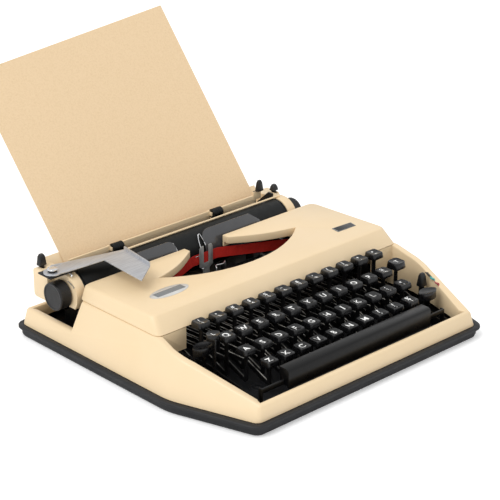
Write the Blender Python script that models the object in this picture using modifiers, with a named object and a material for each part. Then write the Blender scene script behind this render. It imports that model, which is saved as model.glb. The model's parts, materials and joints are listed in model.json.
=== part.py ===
"""Portable manual typewriter with a hinged ribbon cover and a sliding carriage.

Metres, +Z up. X runs to the typist's right, the keyboard faces -Y, and the origin lies in the
middle of the flat underside of the base pan. Distances along Y are named from the front edge.
"""
import math

import bmesh
import bpy
from mathutils import Matrix, Vector

# General clearances and overruns
GAP = 0.0003
CUT_OVERRUN = 0.010

# Base pan
PAN_HALF_WIDTH = 0.1605
PAN_FRONT_WIDTH_SHARE = 0.838006
PAN_FRONT_HALF_WIDTH = PAN_HALF_WIDTH * PAN_FRONT_WIDTH_SHARE
PAN_DEPTH = 0.2840
PAN_TAPER_DEPTH = 0.0820
PAN_HEIGHT = 0.0112
PAN_WALL = 0.0022
PAN_FLOOR = 0.0020
PAN_EDGE_ROUND = 0.0035
PAN_FLANGE_OUT = 0.0030
PAN_FLANGE_HEIGHT = 0.0030
PAN_CORNER_RADIUS = 0.0090
PAN_BEND_RADIUS = 0.0600

# Body shell: one moulding that rings the keyboard, the basket and the carriage well
SHELL_SET_IN = 0.0020
SHELL_WALL = 0.0024
SHELL_SIDE_LEAN_SHARE = 0.31
SHELL_FRONT_LEAN_SHARE = 0.17
SHELL_LIP_HEIGHT = 0.0255
SHELL_ARM_HEIGHT = 0.0530
SHELL_ARM_END = 0.1090
SHELL_SHOULDER_END = 0.2085
SHELL_SHOULDER_SLOPE = 0.0055
SHELL_DECK_HEIGHT = 0.0255
SHELL_RIM = 0.0068
SHELL_FRONT_RIM = 0.0045
SHELL_EDGE_ROUND = 0.0018
SHELL_LINER_FOOT = 0.0030

# Ribbon cover
COVER_SET_IN = 0.0160
COVER_HALF_WIDTH = PAN_HALF_WIDTH - COVER_SET_IN
COVER_SIDE_LEAN = 0.0043
COVER_TOP_HALF_WIDTH = COVER_HALF_WIDTH - COVER_SIDE_LEAN
COVER_FRONT = 0.1096
COVER_FACE_SLOPE = 0.0112
COVER_REAR = 0.2146
COVER_RISE = 0.0150
COVER_TOP_FRONT = SHELL_ARM_HEIGHT + COVER_RISE
COVER_TOP_FALL = 0.0036
COVER_TOP_REAR = COVER_TOP_FRONT - COVER_TOP_FALL
COVER_WALL = 0.0020
COVER_EDGE_ROUND = 0.0026
COVER_CORNER_RADIUS = 0.0060
COVER_HINGE_DROP = 0.0040
CRESCENT_SET_IN = 0.0615
CRESCENT_HALF_WIDTH = COVER_HALF_WIDTH - CRESCENT_SET_IN
CRESCENT_FRONT = 0.1490
CRESCENT_CORNER = 0.1800
CRESCENT_LIP = 0.0068
PRONG_TIP_X = 0.0230
PRONG_TIP = 0.2070
PRONG_SAG = 0.0040

# Bulkheads of the shell under the cover's front corners
BULKHEAD_SET_IN = 0.0210
BULKHEAD_WIDTH = 0.0265
BULKHEAD_OUTER = PAN_HALF_WIDTH - BULKHEAD_SET_IN
BULKHEAD_INNER = BULKHEAD_OUTER - BULKHEAD_WIDTH
BULKHEAD_FRONT = 0.1102
BULKHEAD_HEIGHT = 0.0200
BULKHEAD_BOTTOM = SHELL_ARM_HEIGHT - BULKHEAD_HEIGHT

# Chassis inside the casing
CHASSIS_WIDTH_SHARE = 0.766355
CHASSIS_HALF_WIDTH = PAN_HALF_WIDTH * CHASSIS_WIDTH_SHARE
CHASSIS_PLATE = 0.0020
CHASSIS_FRONT = 0.0120
CHASSIS_REAR = 0.2640
CHASSIS_LOW_HEIGHT = 0.0130
CHASSIS_STEP = 0.1250
CHASSIS_TOP = 0.0360
CHASSIS_TAIL_START = 0.2165
CHASSIS_TAIL_HEIGHT = 0.0240
CHASSIS_BAR = 0.0050
BACK_WALL_FRONT = 0.2120
BACK_WALL_TOP = 0.0300
BRIDGE_HALF_WIDTH = 0.0400
BRIDGE_FRONT = 0.1760
BRIDGE_THICKNESS = 0.0020
HOLDER_POST_X = 0.0560
HOLDER_POST_WIDTH = 0.0080

# Carriage rail on the chassis
RAIL_END_ROOM = 0.0050
RAIL_HALF_LENGTH = CHASSIS_HALF_WIDTH - RAIL_END_ROOM
RAIL_CENTRE = 0.2550
RAIL_FOOT_WIDTH = 0.0120
RAIL_FOOT_HEIGHT = 0.0020
RAIL_HEAD_WIDTH = 0.0060
RAIL_HEAD_HEIGHT = 0.0045

# Key levers and their pivot rod
KEY_PITCH_SHARE = 0.118692
KEY_PITCH = PAN_HALF_WIDTH * KEY_PITCH_SHARE
PIVOT_BACK = 0.2000
PIVOT_HEIGHT = 0.0200
PIVOT_ROD_RADIUS = 0.0018
LEVER_THICKNESS = 0.0012
LEVER_HEIGHT = 0.0046
LEVER_EYE_WALL = 0.0018
LEVER_CREST_REACH = 0.0260
LEVER_CREST_RISE = 0.0040
LEVER_FOOT_DROP = 0.0060
LEVER_HOOK_HALF_ANGLE = math.radians(20.0)
STEM_DEPTH = 0.0042

# Key caps: centre of the Q cap's top, and the steps from row to row
Q_KEY_PITCHES = -5.0026
Q_KEY_X = KEY_PITCH * Q_KEY_PITCHES
Q_ROW_BACK = 0.0800
Q_ROW_HEIGHT = 0.0510
NUMBER_ROW_BACK = 0.0207
NUMBER_ROW_RISE = 0.0083
A_ROW_FORWARD = 0.0187
A_ROW_DROP = 0.0073
Z_ROW_FORWARD = 0.0366
Z_ROW_DROP = 0.0145
NUMBER_STAGGER_SHARE = 0.51444
NUMBER_STAGGER = KEY_PITCH * NUMBER_STAGGER_SHARE
A_STAGGER_SHARE = 0.24672
A_STAGGER = KEY_PITCH * A_STAGGER_SHARE
Z_STAGGER_SHARE = 0.74016
Z_STAGGER = KEY_PITCH * Z_STAGGER_SHARE
CAP_TOP_WIDTH = 0.0118
CAP_BASE_WIDTH = 0.0134
CAP_HEIGHT = 0.0080
CAP_DISH = 0.0008
CAP_RIM = 0.0012
CAP_CORNER_SHARE = 0.24
BANK_BAR_BACK = 0.0022
BANK_BAR_HEIGHT = 0.0360
BANK_BAR_SIZE = 0.0030

# Space bar
SPACE_PITCHES = 4.54068
SPACE_HALF_WIDTH = KEY_PITCH * SPACE_PITCHES
SPACE_FRONT = 0.0150
SPACE_DEPTH = 0.0112
SPACE_TOP = 0.0385
SPACE_HEIGHT = 0.0170
SPACE_WALL = 0.0018
SPACE_ARM_PITCHES = 5.80053
SPACE_ARM_X = KEY_PITCH * SPACE_ARM_PITCHES
SPACE_ARM_THICKNESS = 0.0014
SPACE_CREST_REACH = 0.0640
SPACE_ROUND = 0.0030

# Shift bar, shift lock, tabulator key and ribbon selector
SHIFT_ARM_PITCHES = 6.08924
SHIFT_ARM_X = KEY_PITCH * SHIFT_ARM_PITCHES
SHIFT_ARM_THICKNESS = 0.0014
SHIFT_CAP_WIDTH = 0.0215
SHIFT_CAP_DEPTH = 0.0130
SHIFT_CAP_HEIGHT = 0.0070
SHIFT_LEFT_PITCHES = -6.17323
SHIFT_LEFT_X = KEY_PITCH * SHIFT_LEFT_PITCHES
SHIFT_LEFT_BACK = 0.0846
SHIFT_LEFT_TOP = 0.0465
SHIFT_RIGHT_PITCHES = 6.03675
SHIFT_RIGHT_X = KEY_PITCH * SHIFT_RIGHT_PITCHES
SHIFT_RIGHT_BACK = 0.0443
SHIFT_RIGHT_TOP = 0.0364
SHIFT_TUBE_GAP = 0.0005
LOCK_PITCHES = -5.80053
LOCK_X = KEY_PITCH * LOCK_PITCHES
LOCK_BACK = 0.0795
LOCK_TOP = 0.0570
LOCK_WIDTH = 0.0130
LOCK_DEPTH = 0.0110
LOCK_STEM_BACK = 0.0752
LOCK_CAP_HEIGHT = 0.0055
TAB_SET_IN = 0.0095
TAB_X = CHASSIS_HALF_WIDTH - TAB_SET_IN
TAB_BACK = 0.0815
TAB_TOP = 0.0540
TAB_WIDTH = 0.0125
SIDE_CAP_HEIGHT = 0.0065
SELECTOR_SET_OUT = 0.0040
SELECTOR_X = CHASSIS_HALF_WIDTH + SELECTOR_SET_OUT
SELECTOR_BACK = 0.0620
SELECTOR_PIVOT_HEIGHT = 0.0080
SELECTOR_TOP = 0.0440
SELECTOR_KNOB_WIDTH = 0.0085
SELECTOR_KNOB_HEIGHT = 0.0120
SELECTOR_KNOB_DEPTH = 0.0060
SELECTOR_PLATE = 0.0014

# Type basket: segment block, the resting type bars and one working type bar
FAN_CENTRE = 0.2110
FAN_PIVOT_RADIUS = 0.0260
FAN_HEAD_RADIUS = 0.0620
FAN_HEIGHT = 0.0340
FAN_BAR_COUNT = 43
FAN_HALF_ANGLE = math.radians(80.0)
FAN_RISE = math.radians(5.0)
TYPE_BAR_WIDTH = 0.0010
TYPE_BAR_DEPTH = 0.0025
TYPE_HEAD_WIDTH = 0.0026
TYPE_HEAD_LENGTH = 0.0060
SEGMENT_INNER_RADIUS = 0.0160
SEGMENT_OUTER_RADIUS = 0.0290
SEGMENT_RISE = 0.0040
SEGMENT_SLOT = 0.0022
TYPE_SLUG_LENGTH = 0.0060

# Ribbon, spools, vibrator and card holder
SPOOL_SET_IN = 0.0230
SPOOL_X = CHASSIS_HALF_WIDTH - SPOOL_SET_IN
SPOOL_BACK = 0.1680
SPOOL_RADIUS = 0.0185
SPOOL_HUB_RADIUS = 0.0160
SPOOL_HEIGHT = 0.0150
SPOOL_FLANGE = 0.0010
SPOOL_BORE = 0.0026
SPINDLE_RADIUS = 0.0022
SPOOL_DECK_HALF = 0.0160
RIBBON_HEIGHT = 0.0100
RIBBON_THICKNESS = 0.0003
RIBBON_BOTTOM = 0.0450
RIBBON_BACK = 0.2122
RIBBON_STRAIGHT = 0.0150
VIBRATOR_BACK = 0.2109
VIBRATOR_THICKNESS = 0.0008
VIBRATOR_HALF_WIDTH = 0.0080
VIBRATOR_SLOT = 0.0030
VIBRATOR_FOOT = 0.0272
VIBRATOR_TOP = 0.0620
HOLDER_BACK = 0.2169
HOLDER_THICKNESS = 0.0008
HOLDER_BAR_BOTTOM = 0.0463
HOLDER_BAR_HEIGHT = 0.0037
HOLDER_BEND_HEIGHT = 0.0549
HOLDER_LEAN = math.radians(25.0)
HOLDER_WING_REACH = 0.0178
HOLDER_LEFT_OUT = -0.0760
HOLDER_LEFT_IN = -0.0270
HOLDER_RIGHT_IN = 0.0050
HOLDER_RIGHT_OUT = 0.0760
HOLDER_ROUND = 0.0080
HOLDER_SLANT = 0.0110
HOLDER_SLANT_DROP = 0.0090

# Carriage
CARRIAGE_X = -0.0100
PLATEN_BACK = 0.2365
PLATEN_HEIGHT = 0.0510
PLATEN_RADIUS = 0.0180
PLATEN_HALF_LENGTH = 0.1210
PLATEN_SHAFT_RADIUS = 0.0035
END_PLATE_ROOM = 0.0005
END_PLATE_X = PLATEN_HALF_LENGTH + END_PLATE_ROOM
KNOB_REACH = 0.0245
KNOB_FACE_X = END_PLATE_X + KNOB_REACH
KNOB_LENGTH = 0.0120
KNOB_RADIUS = 0.0128
END_PLATE_THICKNESS = 0.0017
END_EAR_FRONT = 0.0045
END_EAR_DEPTH = 0.0060
HOUSING_WIDTH = 0.0095
HOUSING_RADIUS = 0.0183
HOUSING_TOP = 0.0670
HOUSING_BOTTOM = 0.0400
HOUSING_REAR = 0.2700
HOUSING_BLOCK_FRONT = 0.2500
HOUSING_BLOCK_REACH = 0.0190
HOUSING_BLOCK_OUT = END_PLATE_X + HOUSING_BLOCK_REACH
CHANNEL_WALL = 0.0020
CHANNEL_TOP = 0.0030
TABLE_THICKNESS = 0.0016
TABLE_CLEARANCE = 0.0004
END_WAIST_OFFSET = 0.0018
TABLE_LOW_REACH = 0.0016
TABLE_HIGH_REACH = 0.0370
SCALE_ROD_BACK = 0.2385
SCALE_ROD_HEIGHT = 0.0702
SCALE_ROD_RADIUS = 0.0009

# Paper bail and its rollers
BAIL_END_ROOM = 0.0080
BAIL_HALF_LENGTH = PLATEN_HALF_LENGTH - BAIL_END_ROOM
BAIL_PIVOT_BACK = 0.2585
BAIL_PIVOT_HEIGHT = 0.0580
BAIL_SHAFT_RADIUS = 0.0015
BAIL_BAR_BACK = 0.2540
BAIL_BAR_THICKNESS = 0.0015
BAIL_BAR_BOTTOM = 0.0630
BAIL_BAR_HEIGHT = 0.0075
BAIL_ARM_THICKNESS = 0.0014
BAIL_ARM_DEPTH = 0.0032
BAIL_TIP_REACH = 0.0030
BAIL_TIP_X = BAIL_HALF_LENGTH + BAIL_TIP_REACH
BAIL_TIP_BASE = 0.0040
BAIL_TIP_HEIGHT = 0.0105
BAIL_TIP_WIDTH = 0.0082
BAIL_TIP_DEPTH = 0.0050
ROLLER_RADIUS = 0.0045
ROLLER_LENGTH = 0.0120
ROLLER_X = 0.0600
ROLLER_BACK = 0.2525
ROLLER_HEIGHT = 0.0680
ROLLER_BORE = 0.0012
ROLLER_PIN = 0.0009
ROLLER_EAR = 0.0010
ROLLER_EAR_HEIGHT = 0.0034
ROLLER_BRIDGE = 0.0010

# Line-space and return lever
LEVER_PIVOT_REACH = 0.0229
LEVER_PIVOT_X = -(END_PLATE_X + LEVER_PIVOT_REACH)
LEVER_PIVOT_BACK = 0.2367
LEVER_HUB_RADIUS = 0.0080
LEVER_PLATE_HEIGHT = 0.0735
LEVER_PLATE_THICKNESS = 0.0013
LEVER_RISE = 0.0050
LEVER_HEEL_REACH = 0.0075
LEVER_HEEL_BACK = 0.0119
LEVER_NECK_REACH = 0.0104
LEVER_NECK_DROP = 0.0083
LEVER_ARM_REACH = 0.0692
LEVER_ARM_DROP = 0.0142
LEVER_INNER_REACH = 0.0414
LEVER_INNER_DROP = 0.0193
PADDLE_REACH = 0.0620
PADDLE_DROP = 0.0570
PADDLE_INNER_REACH = 0.0365
PADDLE_INNER_DROP = 0.0759
PADDLE_RISE = 0.0005
PADDLE_FLANGE_HEIGHT = 0.0035
PADDLE_FLANGE_WIDTH = 0.0014
LEVER_STUD_RADIUS = 0.0025
LEVER_BORE = 0.0029
LEVER_HEAD_RADIUS = 0.0042
LEVER_HEAD_HEIGHT = 0.0019
BRACKET_BOTTOM = 0.0716
BRACKET_THICKNESS = 0.0014
BRACKET_FRONT_MARGIN = 0.0075
BRACKET_END_MARGIN = 0.0080

# Release levers in the end housings
PAPER_RELEASE_REACH = 0.0130
PAPER_RELEASE_X = -(END_PLATE_X + PAPER_RELEASE_REACH)
PAPER_RELEASE_BACK = 0.2655
PAPER_RELEASE_TOP = 0.0790
CARRIAGE_RELEASE_REACH = 0.0160
CARRIAGE_RELEASE_X = END_PLATE_X + CARRIAGE_RELEASE_REACH
CARRIAGE_RELEASE_BACK = 0.2552
CARRIAGE_RELEASE_TOP = 0.0745
RELEASE_PIVOT_HEIGHT = 0.0570
RELEASE_PLATE = 0.0024
RELEASE_DEPTH = 0.0040
RELEASE_TIP_WIDTH = 0.0082
RELEASE_SLOT = 0.0034
RELEASE_SWING_ROOM = 0.0018
RELEASE_TIP_GAP = 0.0021
RELEASE_PIN_RADIUS = 0.0008
RELEASE_PIN_HALF = 0.0027

# Loose sheet leaning behind the platen: foot line of its plane, then its size and place in it
SHEET_FOOT_BACK = 0.2520
SHEET_FOOT_HEIGHT = 0.0407
SHEET_X = -0.0012
SHEET_MARGIN = 0.0115
SHEET_WIDTH = PLATEN_HALF_LENGTH + PLATEN_HALF_LENGTH - SHEET_MARGIN
SHEET_LOW_REACH = 0.0164
SHEET_HIGH_REACH = 0.2220
SHEET_THICKNESS = 0.0004
SHEET_LEAN = math.radians(33.7)
SHEET_SKEW = math.radians(4.9)

FRONT_Y = -PAN_DEPTH / 2.0
PARTS = None
CUTTERS = None


def back(distance):
    """World Y of a distance measured from the front edge of the pan."""
    return FRONT_Y + distance


# Scene, collections and materials

def clear_scene():
    for item in list(bpy.data.objects):
        bpy.data.objects.remove(item, do_unlink=True)


def make_collections():
    global PARTS, CUTTERS
    PARTS = bpy.data.collections.new("manual_typewriter")
    CUTTERS = bpy.data.collections.new("cutters")
    bpy.context.scene.collection.children.link(PARTS)
    bpy.context.scene.collection.children.link(CUTTERS)


def finish(name, colour, roughness, metallic=0.0):
    """A Principled BSDF material with one colour, roughness and metallic value."""
    material = bpy.data.materials.get(name) or bpy.data.materials.new(name)
    material.use_nodes = True
    shader = material.node_tree.nodes["Principled BSDF"]
    shader.inputs["Base Color"].default_value = (*colour, 1.0)
    shader.inputs["Roughness"].default_value = roughness
    shader.inputs["Metallic"].default_value = metallic
    return material


def beige_enamel():
    return finish("beige_enamel", (0.93, 0.76, 0.55), 0.45)


def black_plastic():
    return finish("black_plastic", (0.03, 0.03, 0.035), 0.45)


def gloss_black():
    return finish("gloss_black", (0.01, 0.01, 0.012), 0.2)


def dark_steel():
    return finish("dark_steel", (0.12, 0.12, 0.12), 0.4, 0.9)


def bright_steel():
    return finish("bright_steel", (0.62, 0.63, 0.65), 0.3, 1.0)


def black_rubber():
    return finish("black_rubber", (0.025, 0.027, 0.028), 0.6)


def smoky_plastic():
    return finish("smoky_plastic", (0.16, 0.16, 0.17), 0.25)


def ribbon_cloth():
    return finish("ribbon_cloth", (0.35, 0.01, 0.01), 0.8)


def kraft_paper():
    return finish("kraft_paper", (0.85, 0.64, 0.40), 0.9)


# Solids as working objects. Each one is a plain mesh object until it is registered as a part.

def mesh_object(name, vertices, faces):
    mesh = bpy.data.meshes.new(name)
    mesh.from_pydata([tuple(v) for v in vertices], [], faces)
    mesh.validate()
    work = bmesh.new()
    work.from_mesh(mesh)
    bmesh.ops.recalc_face_normals(work, faces=work.faces)
    if work.calc_volume(signed=True) < 0.0:
        bmesh.ops.reverse_faces(work, faces=work.faces)
    work.to_mesh(mesh)
    work.free()
    item = bpy.data.objects.new(name, mesh)
    CUTTERS.objects.link(item)
    item.hide_render = True
    item.display_type = 'WIRE'
    return item


def skin(name, rings, closed=False):
    """Loft through rings with equal point counts, capped at both ends or closed on itself."""
    count = len(rings[0])
    vertices = [point for ring in rings for point in ring]
    faces = []
    last = len(rings) if closed else len(rings) - 1
    for i in range(last):
        j = (i + 1) % len(rings)
        for k in range(count):
            m = (k + 1) % count
            faces.append((i * count + k, i * count + m, j * count + m, j * count + k))
    if not closed:
        faces.append(tuple(reversed(range(count))))
        faces.append(tuple((len(rings) - 1) * count + k for k in range(count)))
    return mesh_object(name, vertices, faces)


def prism(name, outline, axis, start, end):
    """A flat 2D curve, filled and extruded along X (outline in Y, Z), Y (X, Z) or Z (X, Y)."""
    curve = bpy.data.curves.new(name, 'CURVE')
    curve.dimensions = '2D'
    curve.fill_mode = 'BOTH'
    curve.extrude = (end - start) / 2.0
    spline = curve.splines.new('POLY')
    spline.points.add(len(outline) - 1)
    for point, (a, b) in zip(spline.points, outline):
        point.co = (a, b, 0.0, 1.0)
    spline.use_cyclic_u = True
    drawn = bpy.data.objects.new(name, curve)
    CUTTERS.objects.link(drawn)
    bpy.context.view_layer.update()
    graph = bpy.context.evaluated_depsgraph_get()
    mesh = bpy.data.meshes.new_from_object(drawn.evaluated_get(graph))
    bpy.data.objects.remove(drawn, do_unlink=True)
    columns = {
        'X': ((0.0, 1.0, 0.0), (0.0, 0.0, 1.0), (1.0, 0.0, 0.0)),
        'Y': ((1.0, 0.0, 0.0), (0.0, 0.0, 1.0), (0.0, -1.0, 0.0)),
        'Z': ((1.0, 0.0, 0.0), (0.0, 1.0, 0.0), (0.0, 0.0, 1.0)),
    }[axis]
    turn = Matrix(columns).transposed().to_4x4()
    middle = (start + end) / 2.0
    shift = {'X': (middle, 0.0, 0.0), 'Y': (0.0, middle, 0.0), 'Z': (0.0, 0.0, middle)}[axis]
    mesh.transform(Matrix.Translation(shift) @ turn)
    work = bmesh.new()
    work.from_mesh(mesh)
    bmesh.ops.remove_doubles(work, verts=work.verts, dist=0.000001)
    bmesh.ops.recalc_face_normals(work, faces=work.faces)
    work.to_mesh(mesh)
    work.free()
    return to_workbench(bpy.data.objects.new(name, mesh))


def box(name, low, high):
    """A box from its lowest to its highest corner, started from a cube primitive."""
    bpy.ops.mesh.primitive_cube_add(size=1.0)
    item = bpy.context.active_object
    item.name = name
    size = Vector(high) - Vector(low)
    middle = (Vector(high) + Vector(low)) / 2.0
    item.data.transform(Matrix.Translation(middle) @ Matrix.Diagonal((*size, 1.0)))
    return to_workbench(item)


def cylinder(name, radius, start, end, axis, segments):
    """A round bar between two points that lie on one line parallel to X, Y or Z."""
    length = (Vector(end) - Vector(start)).length
    bpy.ops.mesh.primitive_cylinder_add(vertices=segments, radius=radius, depth=length)
    item = bpy.context.active_object
    item.name = name
    turn = {
        'X': Matrix.Rotation(math.radians(90.0), 4, 'Y'),
        'Y': Matrix.Rotation(math.radians(90.0), 4, 'X'),
        'Z': Matrix.Identity(4),
    }[axis]
    middle = (Vector(start) + Vector(end)) / 2.0
    item.data.transform(Matrix.Translation(middle) @ turn)
    return to_workbench(item)


def to_workbench(item):
    for holder in list(item.users_collection):
        holder.objects.unlink(item)
    CUTTERS.objects.link(item)
    item.hide_render = True
    item.display_type = 'WIRE'
    return item


def baked(item):
    """Replace an object's mesh by its evaluated mesh and drop the modifiers."""
    bpy.context.view_layer.update()
    graph = bpy.context.evaluated_depsgraph_get()
    mesh = bpy.data.meshes.new_from_object(item.evaluated_get(graph))
    item.modifiers.clear()
    item.data = mesh
    return item


def turned(name, profile, segments, centre, axis):
    """Turn a profile of (radius, height) pairs with a Screw modifier, top to bottom, about an axis."""
    mesh = bpy.data.meshes.new(name)
    points = [(radius, 0.0, height) for radius, height in profile]
    edges = [(i, (i + 1) % len(points)) for i in range(len(points) - 1)]
    if profile[0][0] > 0.0 and profile[-1][0] > 0.0:
        edges.append((len(points) - 1, 0))
    mesh.from_pydata(points, edges, [])
    item = bpy.data.objects.new(name, mesh)
    CUTTERS.objects.link(item)
    screw = item.modifiers.new("turn", 'SCREW')
    screw.steps = segments
    screw.render_steps = segments
    screw.use_merge_vertices = True
    screw.merge_threshold = 0.00002
    baked(item)
    work = bmesh.new()
    work.from_mesh(item.data)
    bmesh.ops.remove_doubles(work, verts=work.verts, dist=0.00001)
    bmesh.ops.recalc_face_normals(work, faces=work.faces)
    work.to_mesh(item.data)
    work.free()
    turn = {
        'X': Matrix.Rotation(math.radians(90.0), 4, 'Y'),
        'Z': Matrix.Identity(4),
    }[axis]
    item.data.transform(Matrix.Translation(Vector(centre)) @ turn)
    return to_workbench(item)


def combined(item, other, operation):
    """Boolean with the exact solver, applied at once. The second solid is used up."""
    modifier = item.modifiers.new("join", 'BOOLEAN')
    modifier.operation = operation
    modifier.solver = 'EXACT'
    modifier.object = other
    baked(item)
    bpy.data.objects.remove(other, do_unlink=True)
    return item


def joined(item, *others):
    for other in others:
        combined(item, other, 'UNION')
    return item


def cut(item, *others):
    for other in others:
        combined(item, other, 'DIFFERENCE')
    return item


def part(item, name, material, origin=(0.0, 0.0, 0.0)):
    """Register a solid as a named part, with its own origin, and tidy its mesh."""
    for holder in list(item.users_collection):
        holder.objects.unlink(item)
    PARTS.objects.link(item)
    item.name = name
    item.data.name = name
    work = bmesh.new()
    work.from_mesh(item.data)
    bmesh.ops.remove_doubles(work, verts=work.verts, dist=0.000002)
    bmesh.ops.dissolve_degenerate(work, edges=work.edges, dist=0.000002)
    work.to_mesh(item.data)
    work.free()
    item.data.materials.clear()
    item.data.materials.append(material)
    item.data.transform(Matrix.Translation(-Vector(origin)))
    item.location = origin
    item.hide_render = False
    item.display_type = 'SOLID'
    item.data.shade_smooth()
    item.data.set_sharp_from_angle(angle=math.radians(35.0))
    return item


# Outlines

def arc_points(centre, radius, start, end, steps):
    """Points on an arc from one angle to another, both ends included."""
    points = []
    for i in range(steps + 1):
        angle = start + (end - start) * i / steps
        points.append((centre[0] + radius * math.cos(angle), centre[1] + radius * math.sin(angle)))
    return points


def rounded_outline(corners, steps):
    """Round each corner (x, y, radius) of a closed outline with an arc of that radius."""
    outline = []
    count = len(corners)
    for i, (x, y, radius) in enumerate(corners):
        here = Vector((x, y))
        before = Vector(corners[i - 1][:2])
        after = Vector(corners[(i + 1) % count][:2])
        if radius <= 0.0:
            outline.append((x, y))
            continue
        inward = (before - here).normalized()
        outward = (after - here).normalized()
        half = inward.angle(outward) / 2.0
        reach = radius / math.tan(half)
        centre = here + (inward + outward).normalized() * radius / math.sin(half)
        first = here + inward * reach - centre
        last = here + outward * reach - centre
        start = math.atan2(first.y, first.x)
        sweep = math.atan2(last.y, last.x) - start
        sweep = (sweep + math.pi) % (2.0 * math.pi) - math.pi
        outline.extend(arc_points(centre, radius, start, start + sweep, steps))
    return outline


def offset_outline(outline, distance):
    """Move a closed counter-clockwise outline outwards, each corner along its own mitre."""
    moved = []
    count = len(outline)
    for i, (x, y) in enumerate(outline):
        before = Vector((x, y)) - Vector(outline[i - 1])
        after = Vector(outline[(i + 1) % count]) - Vector((x, y))
        a = Vector((before.y, -before.x)).normalized()
        b = Vector((after.y, -after.x)).normalized()
        mitre = (a + b).normalized()
        stretch = min(1.0 / max(mitre.dot(a), 0.5), 2.0)
        moved.append((x + mitre.x * distance * stretch, y + mitre.y * distance * stretch))
    return moved


def plan_outline(inset):
    """Counter-clockwise plan of the casing: straight sides that taper in towards the front."""
    half = PAN_HALF_WIDTH - inset
    front_half = PAN_FRONT_HALF_WIDTH - inset
    front = back(inset)
    bend = back(PAN_TAPER_DEPTH)
    rear = back(PAN_DEPTH - inset)
    corner = max(PAN_CORNER_RADIUS - inset, PAN_CORNER_RADIUS / 4.0)
    corners = [
        (front_half, front, corner), (half, bend, PAN_BEND_RADIUS), (half, rear, corner),
        (-half, rear, corner), (-half, bend, PAN_BEND_RADIUS), (-front_half, front, corner),
    ]
    return rounded_outline(corners, 4)


# Casing

def base_pan():
    """Shallow tray with rounded lower edges and a flange that the shell stands on."""
    flange_bottom = PAN_HEIGHT - PAN_FLANGE_HEIGHT
    levels = [
        (PAN_EDGE_ROUND, 0.0),
        (PAN_EDGE_ROUND * 0.3, PAN_EDGE_ROUND * 0.3),
        (0.0, PAN_EDGE_ROUND),
        (0.0, flange_bottom),
        (-PAN_FLANGE_OUT, flange_bottom + PAN_FLANGE_HEIGHT * 0.2),
        (-PAN_FLANGE_OUT, PAN_HEIGHT - PAN_FLANGE_HEIGHT * 0.2),
        (-PAN_FLANGE_OUT * 0.7, PAN_HEIGHT),
        (PAN_WALL, PAN_HEIGHT),
        (PAN_WALL, PAN_FLOOR + PAN_EDGE_ROUND),
        (PAN_WALL + PAN_EDGE_ROUND, PAN_FLOOR),
    ]
    rings = []
    for inset, height in levels:
        rings.append([(x, y, height) for x, y in plan_outline(inset)])
    pan = skin("base_pan", rings)
    part(pan, "base_pan", black_plastic())


def shell_height(y):
    """Height of the shell's rim at a place along Y: lip, rising arm, shoulder, drop, rear deck."""
    start = back(SHELL_FRONT_RIM)
    arm_end = back(SHELL_ARM_END)
    shoulder = back(SHELL_SHOULDER_END)
    drop = shoulder + SHELL_SHOULDER_SLOPE
    if y <= start:
        return SHELL_LIP_HEIGHT
    if y <= arm_end:
        share = (y - start) / (arm_end - start)
        return SHELL_LIP_HEIGHT + (SHELL_ARM_HEIGHT - SHELL_LIP_HEIGHT) * share
    if y <= shoulder:
        return SHELL_ARM_HEIGHT
    if y <= drop:
        share = (y - shoulder) / (drop - shoulder)
        return SHELL_ARM_HEIGHT + (SHELL_DECK_HEIGHT - SHELL_ARM_HEIGHT) * share
    return SHELL_DECK_HEIGHT


def shell_stations():
    """Corner number, and a mark along Y or None, of each section of the rim, all round the plan."""
    outline = plan_outline(SHELL_SET_IN)
    marks = [
        back(SHELL_ARM_END), back(SHELL_SHOULDER_END),
        back(SHELL_SHOULDER_END) + SHELL_SHOULDER_SLOPE,
    ]
    stations = []
    count = len(outline)
    for i, (x, y) in enumerate(outline):
        ny = outline[(i + 1) % count][1]
        stations.append((i, None))
        inside = [m for m in marks if min(y, ny) + GAP < m < max(y, ny) - GAP]
        inside.sort(reverse=ny < y)
        stations += [(i, mark) for mark in inside]
    return stations


def shell_point(station, inward):
    """Plan point of one section at a distance inward of the rim's foot."""
    corner, mark = station
    x, y = plan_outline(SHELL_SET_IN + inward)[corner]
    if mark is None:
        return x, y
    return math.copysign(PAN_HALF_WIDTH - SHELL_SET_IN - inward, x), mark


def shell_section(station, side):
    """Closed section of the hollow wall, from the outer foot and back to it."""
    lean = SHELL_FRONT_LEAN_SHARE + (SHELL_SIDE_LEAN_SHARE - SHELL_FRONT_LEAN_SHARE) * side
    rim = SHELL_FRONT_RIM + (SHELL_RIM - SHELL_FRONT_RIM) * side
    foot = PAN_HEIGHT + GAP
    top = shell_height(shell_point(station, 0.0)[1])
    rise = top - foot
    edge = SHELL_EDGE_ROUND

    def at(inward, height):
        return (*shell_point(station, inward), height)

    top_in = lean * rise
    inner = top_in + rim
    liner_foot = PAN_HEIGHT + SHELL_LINER_FOOT
    roof = top - SHELL_WALL
    return [
        at(0.0, foot),
        at(lean * (rise - edge), top - edge),
        at(top_in + edge * 0.3, top - edge * 0.3),
        at(top_in + edge, top),
        at(inner - edge, top),
        at(inner - edge * 0.3, top - edge * 0.3),
        at(inner, top - edge),
        at(inner, liner_foot),
        at(inner - SHELL_WALL * 0.6, liner_foot),
        at(inner - SHELL_WALL * 0.6, roof),
        at(top_in + SHELL_WALL, roof),
        at(SHELL_WALL, foot),
    ]


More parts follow.
